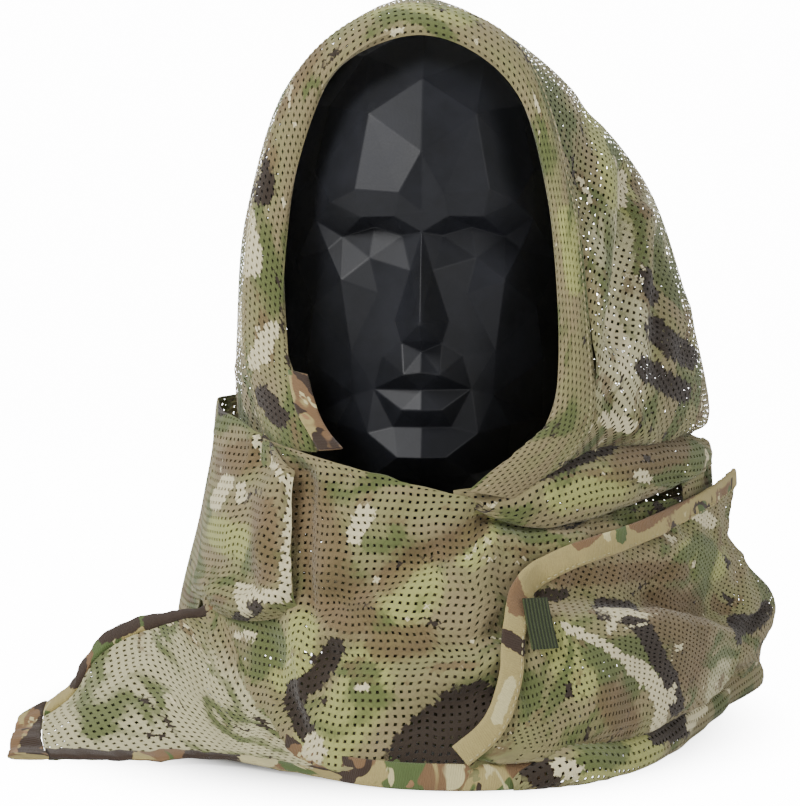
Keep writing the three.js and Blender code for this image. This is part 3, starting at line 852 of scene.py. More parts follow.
def face_band():
    long, wide = 90, 8
    surface = net_grid([TUCKED_OPENING, *TUCKED_ARCHES], long, 57)[: wide + 1]
    normal = normals_of(surface)
    rows = []
    wander = 0.4 * np.sin(np.linspace(0, 31, long)) + 0.3 * np.sin(np.linspace(0, 53, long) + 1)
    for share, height in BAND_PROFILE:
        at = share * wide
        k = min(int(at), wide - 1)
        blend = at - k
        base = surface[k] * (1 - blend) + surface[k + 1] * blend
        up = normal[k] * (1 - blend) + normal[k + 1] * blend
        rows.append(base + up * (height + wander * (1 - share))[:, None] * MM)
    line = surface[wide - 1] + normal[wide - 1] * 1.5 * MM
    stitches = stitch_row("face_band_stitches", line[2:-2], "scarf")
    made, size, area = lattice("hood_face_band", np.array(rows), (3.3, 1.2), diagonal=False)
    dress(made, size, area, "scarf", "hood_face_hem", {
        "dark": [
            ([(-66, 268), (-62, 252)], 7), ([(52, 326), (62, 312)], 6), ([(-62, 160), (-54, 150)], 5),
        ],
        "cream": [
            ([(-72, 240), (-68, 220)], 7), ([(72, 290), (76, 275)], 5), ([(-58, 190), (-66, 175)], 4),
        ],
        "lime": [([(-10, 338), (30, 334)], 9), ([(74, 240), (78, 210)], 5)],
        "brown": [([(-40, 318), (-58, 290)], 8)],
    })


face_band()

# ---- Chin tape: an end of the scarf's own woven edge tape, which shows in the lower corner of the
# face opening. The tape is a flat camouflage-printed cotton twill, folded over the cloth's edge.
SECTION = 16


def ribbon(name, near, far, normal, thickness, waver=0.3):
    """A closed flat tape between two edges, with rounded sides and a slight pucker."""
    turn = np.linspace(0, 2 * math.pi, SECTION, endpoint=False)
    across = 0.5 - 0.5 * np.sign(np.cos(turn)) * np.abs(np.cos(turn)) ** 0.45
    height = 0.5 * np.sign(np.sin(turn)) * np.abs(np.sin(turn)) ** 0.8
    middle = (near + far) / 2
    run = run_length(middle)
    pucker = waver * (np.sin(run * 330) + 0.6 * np.sin(run * 710 + 1.3)) * MM
    width = np.linalg.norm(far - near, axis=1)
    points = (
        near[:, None] + (far - near)[:, None] * across[None, :, None]
        + normal[:, None] * (height * thickness + pucker[:, None])[:, :, None]
    )
    flat = np.stack(
        [np.repeat(run[:, None], SECTION, 1), across * width[:, None] + (height < 0) * 0.02], axis=2
    )
    rings = len(near)
    faces = [
        (i * SECTION + j, i * SECTION + (j + 1) % SECTION,
         (i + 1) * SECTION + (j + 1) % SECTION, (i + 1) * SECTION + j)
        for i in range(rings - 1) for j in range(SECTION)
    ]
    faces.append(tuple(reversed(range(SECTION))))
    faces.append(tuple(range((rings - 1) * SECTION, rings * SECTION)))
    made = cloth_object(name, points.reshape(-1, 3), faces, flat.reshape(-1, 2))
    fix_normals(made)
    shade(made)
    made.data.set_sharp_from_angle(angle=math.radians(60))
    made.data.materials.append(TAPE)
    return made


def fix_normals(made):
    """Turns a closed mesh's faces outwards."""
    made.data.calc_loop_triangles()
    corner = np.empty(len(made.data.loop_triangles) * 3, int)
    made.data.loop_triangles.foreach_get("vertices", corner)
    a, b, c = places_of(made)[corner.reshape(-1, 3)].swapaxes(0, 1)
    if (a * np.cross(b, c)).sum() < 0:
        made.data.flip_normals()


def tape_print(name):
    """Printed twill: short patches of tan, cream, brown and green, finely ribbed."""
    paint = Shader(name)
    where = paint.node("ShaderNodeUVMap", {"uv_map": "cloth"})
    first = paint.noise(paint.stretch(where, (1, 0.8, 1), (2.2, 0.4, 0)), 4.2, 2, 0.5, 0.5)
    second = paint.noise(paint.stretch(where, (1, 0.7, 1), (9.1, 3.4, 0), 0.3), 4.6, 2, 0.5, 0.6)
    third = paint.noise(paint.stretch(where, (1, 0.8, 1), (5.7, 7.7, 0), -0.3), 6.0, 3, 0.5, 0.8)
    colour = paint.mix(first.ramp(0.53, 0.56), linear(*TAPE_TAN), linear(*TAPE_BROWN))
    colour = paint.mix(second.ramp(0.58, 0.6), colour, linear(*TAPE_GREEN))
    colour = paint.mix((first * 0.5 + second * 0.5).ramp(0.4, 0.38), colour, linear(*TAPE_SAND))
    colour = paint.mix(third.ramp(0.6, 0.62), colour, linear(*TAPE_BARK))
    colour = paint.mix(third.ramp(0.36, 0.34), colour, linear(*TAPE_CREAM))
    ragged = (paint.noise(where, 40, 2) - 0.5) * 0.5
    near = {ink: (paint.attribute("print_" + ink) + ragged).ramp(0.42, 0.5) for ink in INKS}
    colour = paint.mix(near["pale"], colour, linear(*TAPE_TAN))
    for ink, tint in (
        ("brown", TAPE_BROWN), ("lime", TAPE_GREEN), ("dark", TAPE_BARK), ("cream", TAPE_CREAM),
    ):
        colour = paint.mix(near[ink], colour, linear(*tint))
    along, side = paint.axis(where, 0), paint.axis(where, 1)
    twill = ((along * 620.0) + (side * 620.0)).wave() * (side * 500.0).wave()
    worn = paint.noise(where, 60, 3)
    colour = paint.mix(worn * 0.25, colour, linear(90, 80, 60))
    paint.set(
        Base_Color=colour,
        Roughness=0.78 + worn * 0.15,
        Normal=paint.bump(twill + worn, 0.0003, 0.6),
    )
    paint.surface.inputs["Sheen Weight"].default_value = 0.15
    paint.surface.inputs["Specular IOR Level"].default_value = 0.25
    return paint.material


TAPE_TAN, TAPE_BROWN, TAPE_GREEN = (176, 160, 106), (128, 100, 72), (88, 106, 62)
TAPE_SAND, TAPE_BARK, TAPE_CREAM = (158, 122, 88), (60, 47, 41), (212, 202, 150)
TAPE = tape_print("printed_twill_tape")
CHIN_TAPE = [
    [(-41, -84.7, 170), (-37, -88, 156), (-32, -91, 146), (-25, -96, 138)],
    [(-50, -79.7, 172), (-47, -85, 156), (-41, -90, 145), (-36, -95, 137)],
]


def tape_piece(made, body, node, marks):
    paint_marks(made, marks)
    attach(made, body)
    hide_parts(node)


def chin_tape():
    outer, inner = net_grid(CHIN_TAPE, 24, 2)
    normal = np.cross(np.gradient(outer, axis=0), inner - outer)
    normal /= np.linalg.norm(normal, axis=1, keepdims=True)
    normal *= np.sign((normal * (outer - np.array(CORE))).sum())
    made = ribbon("chin_tape", outer, inner, normal, 2.2 * MM)
    tape_piece(made, "scarf", "chin_binding", {})


chin_tape()

# ---- Front of the neck wrap: the inner turn of the scarf across the throat, the same mesh, with its
# knit level, and a bound hem that meets the table.

# Radius of the neck wrap in mm, every 30 degrees from the front towards +X, at each of its heights.
WRAP_HEIGHTS = (0, 50, 100, 150, 180)
WRAP_RADII = (
    (152, 161, 147, 158, 222, 192, 175, 168, 140, 106, 110, 120),
    (138, 148, 145, 160, 204, 180, 165, 155, 130, 104, 107, 117),
    (120, 128, 134, 152, 182, 166, 150, 140, 114, 96, 99, 108),
    (107, 111, 124, 150, 168, 152, 136, 124, 103, 88, 90, 96),
    (102, 106, 118, 146, 160, 144, 128, 116, 96, 84, 86, 92),
)
LAYER = 3.0
ON_SOLID = -1.1  # from a turn's outer side to the middle of its cloth
TAPE_WIDTH = 9.8
HEM_TOP, HEM_FOOT = 11.5, 0.8
HEM_THICKNESS = 2.8 * MM


def wrap_radius(angle, height):
    """Radius in mm of the innermost turn, at angles from the front towards +X in degrees."""
    angle, height = np.broadcast_arrays(np.asarray(angle, float), np.asarray(height, float))
    turn = np.mod(angle / 30, 12)
    i = turn.astype(int)
    rings = np.asarray(WRAP_RADII, float)
    by_height = four(*(rings[:, (i + k) % 12] for k in (-1, 0, 1, 2)), turn - i)
    stack = padded_ends(by_height)
    place = np.interp(height, WRAP_HEIGHTS, np.arange(5))
    k = np.minimum(place.astype(int), 3)
    near = [np.take_along_axis(stack, (k + n)[None], axis=0)[0] for n in range(4)]
    return four(*near, place - k)


def wrap_points(place, offset):
    """Points in metres at [angle, height] places on the wrap, an offset in mm outside it."""
    angle, height = place[..., 0], place[..., 1]
    radius = wrap_radius(angle, height)
    turn = np.radians(angle)
    x, y = radius * np.sin(turn) * FIT[0], -radius * np.cos(turn) * FIT[1]
    reach = np.hypot(x, y)
    longer = (reach + offset) / reach
    return np.stack([x * longer, y * longer, height * FIT[2]], axis=-1) * MM


def wrap_grid(top, bottom, offset, rows, swell=0.0):
    """A grid on the wrap from a top edge to a bottom edge, each an array of [angle, height]."""
    share = np.linspace(0, 1, rows)[:, None, None]
    place = top[None] * (1 - share) + bottom[None] * share
    lift = offset + swell * np.sin(math.pi * share[..., 0]) ** 2
    return wrap_points(place, lift)


def edge_line(guide, count):
    """An edge of [angle, height] places, smooth through its guide points."""
    return through(guide, np.linspace(0, 1, count))


def beside(places, distance):
    """An edge moved sideways by a distance in mm on the cloth, to the left of its direction."""
    arc = np.radians(wrap_radius(places[:, 0], places[:, 1]))
    run = np.gradient(places[:, 0]) * arc
    rise = np.gradient(places[:, 1])
    length = np.hypot(run, rise)
    aside = np.stack([-rise / length * distance / arc, run / length * distance], axis=1)
    return places + aside


def level_edge(start, end, height, count):
    """A level edge of [angle, height] places."""
    return np.stack([np.linspace(start, end, count), np.full(count, float(height))], axis=1)


def wrap_tape(name, near, far, offset, thickness, shape=wrap_points):
    """A tape on the wrap between two edges of [angle, height], shaped as the cloth under it."""
    band = shape(np.stack([near, (near + far) / 2, far]), offset)
    return ribbon(name, band[0], band[-1], normals_of(band)[1], thickness)


FRONT_TOP = [
    (-60, 148), (-42, 141), (-24, 135), (-6, 128), (14, 118), (28, 108), (45, 108), (60, 110), (74, 111),
]
FRONT_SWEEP = [(-62, 62), (-51, 48), (-37, 28), (-22, 8), (26, 0), (74, 0)]
FRONT_FOLDS = [
    ([(-43, 126), (-42, 104), (-43, 84), (-41, 68)], 4, -6.5),
    ([(36, 110), (51, 106), (78, 108), (108, 112), (130, 118)], 4.5, -7.0),
    ([(33, 108), (44, 105), (54, 98)], 3, 2.5),
    ([(34, 107), (22, 98), (6, 91), (-14, 80), (-30, 74)], 6, -5.0),
    ([(-10, 98), (8, 103), (28, 113)], 6, 2.4),
    ([(34, 88), (8, 79), (-14, 69), (-34, 60)], 6, 2.2),
    ([(44, 64), (20, 55), (-6, 52), (-30, 50)], 5, -4.4),
    ([(44, 54), (24, 46), (2, 42)], 5, 2.2),
    ([(44, 40), (24, 35), (6, 26)], 6, -5.0),
    ([(-12, 44), (-18, 28), (-30, 14)], 9, 2.4),
    ([(-48, 68), (-42, 52), (-50, 38)], 5, 2.0),
    ([(-58, 52), (-48, 30), (-38, 16)], 5, -3.0),
    ([(2, 128), (-14, 122), (-34, 120)], 6, -2.2),
]
UNDER_LAPEL = [
    ([(66, 78), (86, 78), (110, 74), (136, 66), (160, 55)], 12, -9.0),
    ([(162, 46), (176, 43), (190, 45)], 10, -9.0),
]


def front():
    top = edge_line(FRONT_TOP, 64)
    bottom = np.maximum(edge_line(FRONT_SWEEP, 64), (-180, 3))
    grid = wrap_grid(top, bottom, ON_SOLID, 34)
    grid = settle(grid, 0.04, 3.5, 1.0)
    grid = fold(grid, FRONT_FOLDS + UNDER_LAPEL)
    lifted = 5 * np.clip(np.linspace(1, -4, 60), 0, 1)[:, None] ** 2 * (0, 1)
    near = level_edge(-23, 24, HEM_TOP, 60) + lifted
    far = level_edge(-23, 24, HEM_FOOT, 60) + lifted
    hem = wrap_tape("front_hem_tape", near, far, -1.2, HEM_THICKNESS)
    tape_piece(hem, "scarf", "front_hem_binding", {})
    made, size, area = lattice("front_cloth", grid, (1.7, 0.4), diagonal=False, level=True)
    dress(made, size, area, "scarf", "front_swath", {
        "dark": [
            ([(-28, 54), (-34, 42), (-45, 34), (-46, 27), (-40, 18)], 5),
            ([(34, 36), (24, 30), (12, 24), (2, 12)], 9), ([(36, 22), (16, 14)], 7),
        ],
        "cream": [([(-15, 111), (-19, 102)], 4.5), ([(-36, 14), (-40, 4)], 5)],
        "lime": [
            ([(-42, 61), (-45, 47), (-50, 38)], 8), ([(-14, 46), (-16, 36), (-24, 24), (-36, 10)], 12),
            ([(8, 82), (-2, 68)], 12), ([(38, 108), (30, 96)], 8),
        ],
        "brown": [
            ([(-44, 118), (-34, 98), (-32, 78), (-20, 70)], 13),
            # The first mark on the next line runs down the crease from (34, 107): brown print, and
            # painted shade in the crease.
            ([(34, 106), (22, 98), (6, 92), (-6, 82)], 6), ([(8, 60), (-8, 56)], 8),
        ],
    })


front()

# ---- Throat roll: slack cloth rolled over under the chin, from the face opening's lower right corner
# round to the side of the hood.
ROLL_TOP = [
    (11.5, 121), (18.5, 123), (25, 125), (31, 130), (37, 135), (45, 138), (62, 140), (78, 139),
    (90, 136), (99, 130),
]
ROLL_BOTTOM = [
    (11.5, 119), (18.5, 111), (25, 107), (31, 106), (38, 107), (45, 108), (60, 112), (78, 117),
    (90, 121), (99, 125),
]


def throat_roll():
    top = edge_line(ROLL_TOP, 60)
    bottom = edge_line(ROLL_BOTTOM, 60)
    grid = wrap_grid(top, bottom, ON_SOLID, 22)
    share = np.linspace(0, 1, 22)[:, None]
    rise = (np.clip(np.linspace(0, 3.2, 60), 0, 1) * np.clip(np.linspace(6, 0, 60), 0, 1))[None]
    puff = 7.5 * np.sin(math.pi * share) ** 0.7 - 5.0 * share**6 - 5.0 * (1 - share) ** 5
    grid = grid + normals_of(grid) * (puff * rise)[..., None] * MM
    grid = settle(grid, 0.04, 1.5, 1.5)
    grid = fold(grid, [([(50, 118), (76, 121), (104, 122), (130, 124)], 3.5, -2.0)])
    made, size, area = lattice("throat_cloth", grid, (5.2, 2.2), diagonal=False)
    dress(made, size, area, "scarf", "throat_roll", {
        "dark": [([(64, 128), (80, 134), (96, 138)], 4)],
        "cream": [([(108, 124), (112, 122)], 3)],
        "lime": [([(70, 118), (96, 122)], 8)],
        "brown": [([(100, 128), (130, 134)], 8)],
    })


throat_roll()

# ---- Left side of the wrap: the outer turn, which leaves the front in an upright pleat and bulges
# over the shoulder, at the viewer's left.
LEFT_TOP = [
    (-28, 128), (-37, 139), (-52, 148), (-66, 151), (-80, 153), (-98, 154), (-116, 154), (-134, 154),
]
LEFT_BOTTOM = [
    (-24, 68), (-34, 62), (-46, 60), (-60, 61), (-77, 60), (-97, 42), (-117, 18), (-134, 4),
]
LEFT_FOLDS = [
    ([(-55, 122), (-57, 100), (-57, 78)], 6.5, 5.0),
    ([(-64, 132), (-70, 110), (-72, 84)], 6, -2.0),
    ([(-84, 108), (-72, 96), (-60, 92)], 8, 2.0),
    ([(-86, 84), (-70, 78), (-58, 80)], 6, -2.2),
    ([(-60, 144), (-64, 134), (-58, 126)], 4, -3.0),
    ([(-84, 140), (-78, 128), (-66, 118)], 5, 2.4),
    ([(-88, 72), (-74, 66), (-60, 70)], 5, 2.4),
]


def left_side():
    columns, rows = 60, 30
    top, bottom = edge_line(LEFT_TOP, columns), edge_line(LEFT_BOTTOM, columns)
    grid = wrap_grid(top, bottom, LAYER + ON_SOLID, rows, swell=0.3)
    curl = np.exp(-(np.arange(columns) / 1.3) ** 2) * 3 * MM
    under = np.exp(-((rows - 1 - np.arange(rows)) / 1.8) ** 2) * 5 * MM
    grid = grid - normals_of(grid) * (curl[None, :] + under[:, None])[..., None]
    grid = settle(grid, 0.05, 1.5, 2.0)
    grid = fold(grid, LEFT_FOLDS, back=0.14)
    made, size, area = lattice("left_cloth", grid, (7.9, 4.1), diagonal=False, level=True)
    dress(made, size, area, "scarf", "left_swath", {
        # The first dark mark is painted shade under the rolled lower edge of the fold.
        "dark": [([(-64, 68), (-72, 60)], 4), ([(-60, 140), (-60, 130)], 2.5)],
        "cream": [
            # The first two cream lines are a painted highlight along the fold's front edge and its rolled
            # foot.
            ([(-66, 142), (-63, 134), (-55, 128), (-48, 122), (-49, 104), (-50, 90)], 1.8),
            ([(-50, 90), (-50, 74), (-72, 73), (-68, 64)], 2.8),
            ([(-79, 120), (-86, 109)], 4), ([(-72, 118), (-72, 113)], 3),
        ],
        "lime": [([(-84, 96), (-68, 92)], 9)],
        "brown": [([(-66, 134), (-84, 126)], 8), ([(-60, 110), (-60, 84)], 7)],
    })


left_side()

# ---- Right and back of the wrap: the inner turn carries on round the neck behind the lapel, and its
# back hem is bound with the same tape.
RIGHT_TOP = [(74, 117), (88, 125), (101, 129), (113, 132), (128, 138), (144, 144)]
BACK_TOP = [(136, 146), (160, 150), (184, 152), (208, 156), (232, 156)]
BACK_FOLDS = [
    ([(96, 138), (60, 112), (10, 98), (-40, 104)], 9, -4.0),
    ([(90, 112), (50, 86), (0, 74), (-50, 78)], 9, 2.4),
    ([(110, 84), (70, 58), (20, 44), (-30, 46)], 9, -3.6),
    ([(100, 52), (60, 34), (20, 26)], 8, 2.2),
    ([(-50, 130), (-40, 100), (-60, 60)], 8, -2.6),
]


def right_side():
    grid = wrap_grid(edge_line(RIGHT_TOP, 50), level_edge(74, 144, 1.2, 50), ON_SOLID, 30)
    grid = settle(grid, 0.06, 5.0, 1.2)
    grid = fold(grid, UNDER_LAPEL)
    made, size, area = lattice("right_cloth", grid, (2.9, 6.1), diagonal=False, level=True)
    dress(made, size, area, "scarf", "right_swath", {})


def back_side():
    top, bottom = edge_line(BACK_TOP, 64), level_edge(136, 232, 3, 64)
    grid = wrap_grid(top, bottom, -LAYER + ON_SOLID, 36)
    grid = settle(grid, 0.05, 5.0, 1.6)
    grid = fold(grid, BACK_FOLDS, back=9.0)
    near, far = level_edge(136, 232, HEM_TOP, 90), level_edge(136, 232, HEM_FOOT, 90)
    hem = wrap_tape("back_hem_tape", near, far, -LAYER - 1.2, HEM_THICKNESS)
    tape_piece(hem, "scarf", "back_hem_binding", {})
    made, size, area = lattice("back_cloth", grid, (4.4, 9.3), diagonal=False, level=True)
    dress(made, size, area, "scarf", "back_swath", {})


right_side()
back_side()

# ---- Inner turn of the neck wrap: the first turn round the throat, hidden behind the others, which
# keeps light from showing straight through them.
INNER_RIM = [
    (-178, 142), (-100, 146), (-60, 138), (-20, 118), (0, 108), (30, 100), (110, 104), (140, 128),
    (178, 142),
]


def inner_turn():
    top = level_edge(-178, 178, 0, 90)
    top[:, 1] = np.interp(top[:, 0], *np.transpose(INNER_RIM))
    grid = wrap_grid(top, level_edge(-178, 178, 14, 90), -13, 20)
    made, size, area = lattice("inner_cloth", grid, (5.1, 1.9), diagonal=False)
    paint_marks(made, {})
    punch(made, 0)
    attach(made, "scarf")


inner_turn()

# ---- Lapel: the loose front end of the scarf, laid over the right shoulder. Its free edge is bound
# with twill tape, a ribbed olive webbing tab is sewn under the edge, and its foot is rolled up.
LAPEL_EDGE = [
    (8, 19), (13, 30), (16, 46), (18, 68), (22, 86), (33, 97), (54, 104), (78, 112), (97, 119),
]
LAPEL_FOOT = [(angle, 12) for angle in (15, 23, 31, 39, 47, 57, 72, 89, 106)]
LAPEL_FOLDS = [
    ([(62, 80), (86, 79), (110, 75), (136, 66), (160, 55)], 7.5, -8.5),
    ([(120, 92), (146, 84), (168, 70)], 7, 4.0),
    ([(166, 46), (176, 43), (188, 45)], 6, -9.0),
    ([(162, 30), (174, 26)], 6, 3.0),
    ([(66, 58), (80, 44), (88, 26)], 9, 1.8),
    ([(104, 46), (98, 32), (96, 20)], 7, -1.8),
    ([(64, 96), (96, 93), (130, 100)], 7, -3.0),
]
LAPEL_PANEL = [
    (58, 71), (92, 70), (112, 66), (138, 56), (161, 44), (157, 30), (144, 22), (124, 18), (58, 18),
]
LAPEL_LAYERS = 1.5  # the inner layer lines only the part away from the front
LAPEL_TAPE_MARKS = {
    "pale": [
        ([(30, 12), (52, 40), (50, 84), (70, 100), (104, 104)], 22), ([(140, 116), (175, 126)], 9),
    ],
    "brown": [([(108, 106), (136, 117)], 8), ([(46, 84), (50, 74)], 5), ([(78, 98), (86, 102)], 4)],
    "lime": [([(98, 98), (98, 106)], 3.2)],
    "dark": [([(44, 62), (54, 56)], 3.5), ([(172, 116), (172, 128)], 2)],
    "cream": [([(91, 98), (91, 104)], 2), ([(40, 30), (46, 44)], 3)],
}


def inside(grid, outline, soft):
    """1 well inside an outline of points [x, z] in mm, seen from the front, and 0 outside it."""
    outline = np.asarray(outline, float) * MM
    x, z = grid[..., 0], grid[..., 2]
    within = np.zeros(x.shape, bool)
    gap = np.full(x.shape, 1e9)
    for (ax, az), (bx, bz) in zip(outline, np.roll(outline, -1, axis=0)):
        wide, high = bx - ax, bz - az
        within ^= ((az > z) != (bz > z)) & (x < wide * (z - az) / (high + 1e-12) + ax)
        share = np.clip(((x - ax) * wide + (z - az) * high) / (wide**2 + high**2), 0, 1)
        gap = np.minimum(gap, np.hypot(x - ax - share * wide, z - az - share * high))
    return within * np.clip(gap / (soft * MM), 0, 1)


def flare(places):
    """How far in mm the lapel stands off at places of [angle, height]: its top corner and its side."""
    angle, height = places[..., 0], places[..., 1]
    corner = 9.0 * np.clip((angle - 62) / 34, 0, 1) ** 2 * np.clip((height - 84) / 26, 0, 1)
    side = 18.0 * np.exp(-(((angle - 102) / 16) ** 2)) * np.exp(-(((height - 47) / 20) ** 2))
    return corner + side


def lapel_points(places, offset):
    """Points in metres on the lapel, with its folds, at places of [angle, height]."""
    grid = wrap_points(places, offset + flare(places))
    grid = fold(grid, LAPEL_FOLDS)
    outwards = np.clip((grid[..., 0] - 70 * MM) / (50 * MM), 0, 1)
    swell = inside(grid, LAPEL_PANEL, 3.5) * outwards * 9.5 * MM
    return grid + normals_of(grid) * swell[..., None]


def lapel():
    top = beside(edge_line(LAPEL_EDGE, 100), -4.0)
    share = np.linspace(0, 1, 46)[:, None, None]
    grid = lapel_points(top * (1 - share) + edge_line(LAPEL_FOOT, 100) * share, LAYER + ON_SOLID)
    grid = settle(grid, 0.05, 1.5, 2.5)
    edge = edge_line(LAPEL_EDGE, 150)
    inner = beside(edge, -TAPE_WIDTH)
    tape = wrap_tape("lapel_tape", edge, inner, LAYER - 0.6, 3.0 * MM, lapel_points)
    tape_piece(tape, "lapel", "lapel_binding", LAPEL_TAPE_MARKS)
    mark = beside(edge, -TAPE_WIDTH + 1.6)[3:-3]
    row = lapel_points(np.stack([mark, mark + [0, -1], mark + [0, -2]]), LAYER + 0.95)[0]
    stitches = stitch_row("lapel_stitches", row, "lapel")
    made, size, area = lattice("lapel_cloth", grid, (6.6, 0.9), pitch=FINE_PITCH)
    area += double(made, grid[:, 60:], LAYERS_APART, (2.6, 3.9), pitch=FINE_PITCH)
    size = (size[0], size[1] * LAPEL_LAYERS)
    dress(made, size, area, "lapel", "lapel_mesh", {
        "dark": [
            ([(88, 69), (100, 66), (108, 57), (113, 46), (119, 36), (122, 22)], 4.5),
            # The last mark on the next line is painted shade in the hollow beyond the panel's corner.
            ([(60, 76), (70, 76)], 3), ([(164, 44), (176, 42), (188, 45)], 6),
        ],
        "cream": [
            ([(70, 64), (87, 56), (100, 46)], 2.0), ([(100, 46), (110, 37), (114, 27), (112, 17)], 4.2),
            ([(138, 104), (150, 96)], 4),
        ],
        "lime": [([(68, 58), (76, 44)], 10), ([(134, 84), (152, 76)], 9)],
        "brown": [
            ([(118, 62), (134, 56), (128, 40)], 12), ([(90, 34), (96, 22)], 8),
            # The next mark is painted shade along the crease above the panel.
            ([(70, 83), (104, 82), (130, 78)], 5),
        ],
        "pale": [([(150, 34), (146, 22)], 7)],
    })


def tab():
    left, high, low, wide = 21.5, 77, 57, 11.5
    width = math.degrees(wide / float(wrap_radius(left, (high + low) / 2)))
    heights = np.linspace(high, low, 26)
    lift = LAYER + 1.9 + 1.4 * np.clip((68 - heights) / 12, 0, 1)
    near = wrap_points(np.stack([np.full(26, left), heights], axis=1), lift)
    far = wrap_points(np.stack([np.full(26, left + width), heights], axis=1), lift)
    normal = ((near + far) / 2 - np.array(CORE)) * (1, 1, 0)
    normal /= np.linalg.norm(normal, axis=1, keepdims=True)
    made = ribbon("olive_tab", near, far, normal, 1.8 * MM, waver=0.05)
    made.data.materials.clear()
    made.data.materials.append(webbing())
    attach(made, "lapel")
    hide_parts("lapel_tab")


def webbing():
    """Olive webbing, ribbed across, with painted shade darkening the grooves between the ribs."""
    paint = Shader("olive_webbing")
    where = paint.node("ShaderNodeUVMap", {"uv_map": "cloth"})
    ribs = (paint.axis(where, 1) * 420.0).wave()
    picks = (paint.axis(where, 0) * 900.0).wave()
    fuzz = paint.noise(where, 300, 2)
    # Painted shade: the colour follows the ribs, darker in their grooves.
    colour = paint.mix(ribs.ramp(-0.9, 0.6), linear(34, 40, 24), linear(70, 80, 46))
    paint.set(
        Base_Color=paint.mix(fuzz * 0.4, colour, linear(52, 60, 38)),
        Roughness=0.75,
        Normal=paint.bump(ribs + picks * 0.3 + fuzz * 0.4, 0.0006, 0.8),
    )
    return paint.material


# The rolled foot's section, from its top to the table: each a height and a distance outwards, in mm.
ROLL_PROFILE = [
    (17.5, -0.8), (17.0, 1.2), (15.5, 3.4), (12.5, 5.2), (9.0, 5.6), (5.5, 5.0), (2.8, 3.4),
    (1.2, 1.2), (1.0, -1.0),
]


def hem_roll():
    angles = np.linspace(17, 105, 70)
    rows = []
    run = np.linspace(0, 1, 70)
    swell = 1 + 0.22 * np.sin(run * 19) + 0.14 * np.sin(run * 41 + 2)
    taper = 0.25 + 0.75 * np.clip(run * 9, 0, 1) ** 0.7
    for height, out in ROLL_PROFILE:
        rise = 1.0 + (height - 1.0) * taper * (0.93 + 0.07 * np.sin(run * 13 + 1))
        rows.append(wrap_points(np.stack([angles, rise], axis=1), LAYER - 2.6 + out * swell * taper))
    made, size, area = lattice("lapel_hem_cloth", np.array(rows), (8.8, 7.0), diagonal=False)
    dress(made, size, area, "lapel", "lapel_hem_roll", {
        "dark": [([(52, 14), (60, 6)], 7), ([(112, 14), (128, 12)], 5)],
        "cream": [([(66, 10), (72, 8)], 4), ([(132, 12), (140, 14)], 4)],
        "lime": [([(80, 10), (108, 10)], 9)],
    })


lapel()
tab()
hem_roll()

# ---- Tail: the scarf's other loose end, which slopes from under the front turn down to the table.
# Its mesh is pulled askew, and tape binds its upper edge, its hem and its tip, where it is doubled.
TAIL_ARCHES = [
    [(-122, -40, 54), (-114, -68, 37), (-99, -94, 17), (-78, -112, 4)],
    [(-141, -48, 45), (-135, -72, 29), (-123, -93, 13), (-106, -110, 3.5)],
    [(-154, -58, 24), (-152, -77, 16), (-147, -93, 8), (-139, -107, 3.5)],
    [(-175, -70, 12), (-175, -82, 9), (-174, -94, 6), (-173, -105, 3.5)],
]
TAIL_CORE = (-0.1, 0.1, -0.1)
TAIL_ROWS = 60
TAIL_LAYERS = 2
TIP_START = 0.885
TAIL_FOLDS = [
    ([(-98, 52), (-112, 38), (-128, 24), (-150, 12)], 5, 2.6),
    ([(-84, 50), (-74, 34), (-56, 14)], 5, 2.6),
    ([(-92, 40), (-84, 24), (-70, 8)], 5, -2.6),
    ([(-146, 8), (-124, 16), (-100, 24), (-80, 22)], 4, 2.4),
]
UPPER_MARKS = {
    "dark": [
        ([(-94, 58), (-116, 54)], 6), ([(-126, 52), (-138, 48)], 5), ([(-148, 34), (-150, 28)], 4),
    ],
    "lime": [([(-118, 54), (-124, 54)], 4)],
    "pale": [([(-152, 26), (-156, 20)], 5)],
}
LOWER_MARKS = {
    "dark": [([(-90, 4), (-70, 4)], 5), ([(-160, 4), (-120, 4)], 4)],
    "cream": [([(-66, 5), (-56, 6)], 4)],
}
TIP_MARKS = {
    "dark": [([(-160, 12), (-164, 6)], 5)],
    "brown": [([(-172, 8), (-176, 4)], 4)],
}


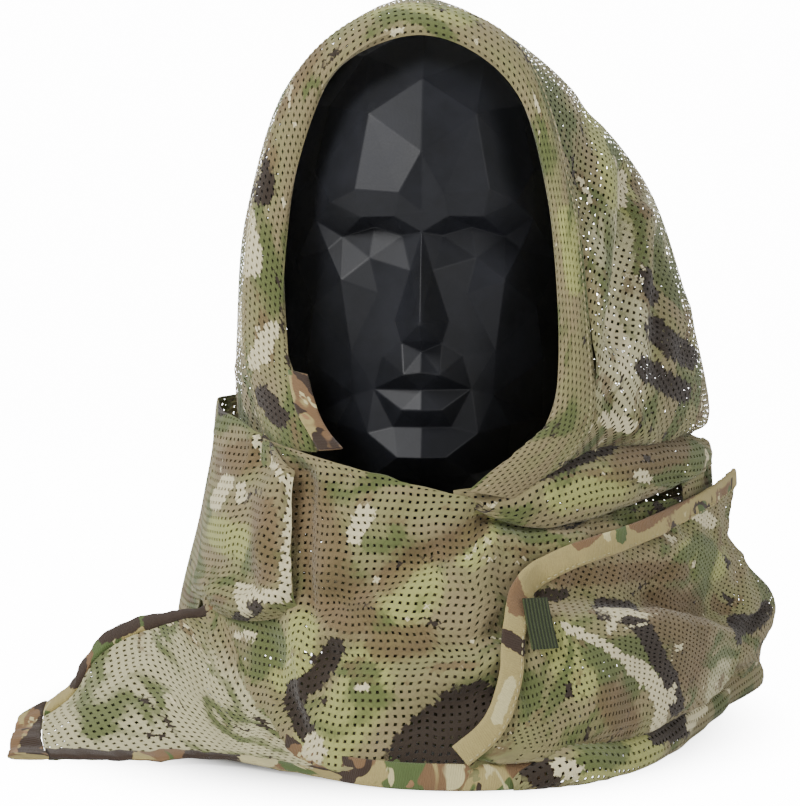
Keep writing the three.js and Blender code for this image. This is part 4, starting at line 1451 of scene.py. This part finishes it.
def tail_surface():
    """Rows run from the root to the tip, and columns from the upper edge to the hem."""
    sweep = beside(edge_line(FRONT_SWEEP, 101), -0.8)
    guides = [2, 24, 48, 70]
    root = wrap_points(sweep[guides], 0.2)
    inner = wrap_points(beside(sweep, 9)[guides], -4.5)
    arches = [(line / (MM * FIT)).tolist() for line in (inner, root)]
    surface = net_grid([*arches, *TAIL_ARCHES], 40, TAIL_ROWS + 1)
    surface = surface - normals_of(surface, TAIL_CORE) * 0.6 * MM
    surface = settle(surface, 0.05, 0.8, 2.5, TAIL_CORE)
    return fold(surface, TAIL_FOLDS, TAIL_CORE)


def tail_tapes(surface):
    """The tapes on the tail's upper edge, its hem and its tip."""
    up = normals_of(surface, TAIL_CORE)
    inset = TAPE_WIDTH * MM / np.linalg.norm(surface[:, -1] - surface[:, 0], axis=1)
    shares = np.stack([inset, 1 - inset], axis=1)
    inner = np.array([through(row, share) for row, share in zip(surface, shares)])
    to_tip = np.linspace(0, round(TIP_START * TAIL_ROWS) / TAIL_ROWS, 60)
    for name, first, second, way, thick, node, marks in (
        ("tail_upper_tape", surface[:, 0], inner[:, 0], up[:, 2], 4.2, "tail_top_binding", UPPER_MARKS),
        ("tail_hem_tape", inner[:, 1], surface[:, -1], up[:, -3], 2.8, "tail_hem_binding", LOWER_MARKS),
    ):
        made = ribbon(name, *(through(line, to_tip) for line in (first, second, way)), thick * MM)
        tape_piece(made, "tail", node, marks)
        yield made
    near, far = through(surface, [TIP_START, 0.995])
    across = np.linspace(0, 1, 26)
    way = np.repeat(through(up, [0.93])[0][20][None], 26, axis=0)
    made = ribbon("tail_tip_tape", through(near, across), through(far, across), way, 4 * MM, waver=0.8)
    tape_piece(made, "tail", "tail_tip_binding", TIP_MARKS)
    yield made


def tail():
    surface = tail_surface()
    tapes = list(tail_tapes(surface))
    body = surface[: round(TIP_START * TAIL_ROWS) + 1]
    made, size, area = lattice("tail_cloth", body[:, 2:-2], (0.3, 5.5), diagonal=False)
    area += double(made, body[:, 3:-3], 2 * MM, (3.8, 2.7), TAIL_CORE, False)
    size = (size[0], size[1] * TAIL_LAYERS)
    dress(made, size, area, "tail", "tail_mesh", {
        "pale": [([(-150, 12), (-110, 26), (-80, 14), (-56, 8)], 24), ([(-130, 36), (-110, 40)], 14)],
    })


tail()
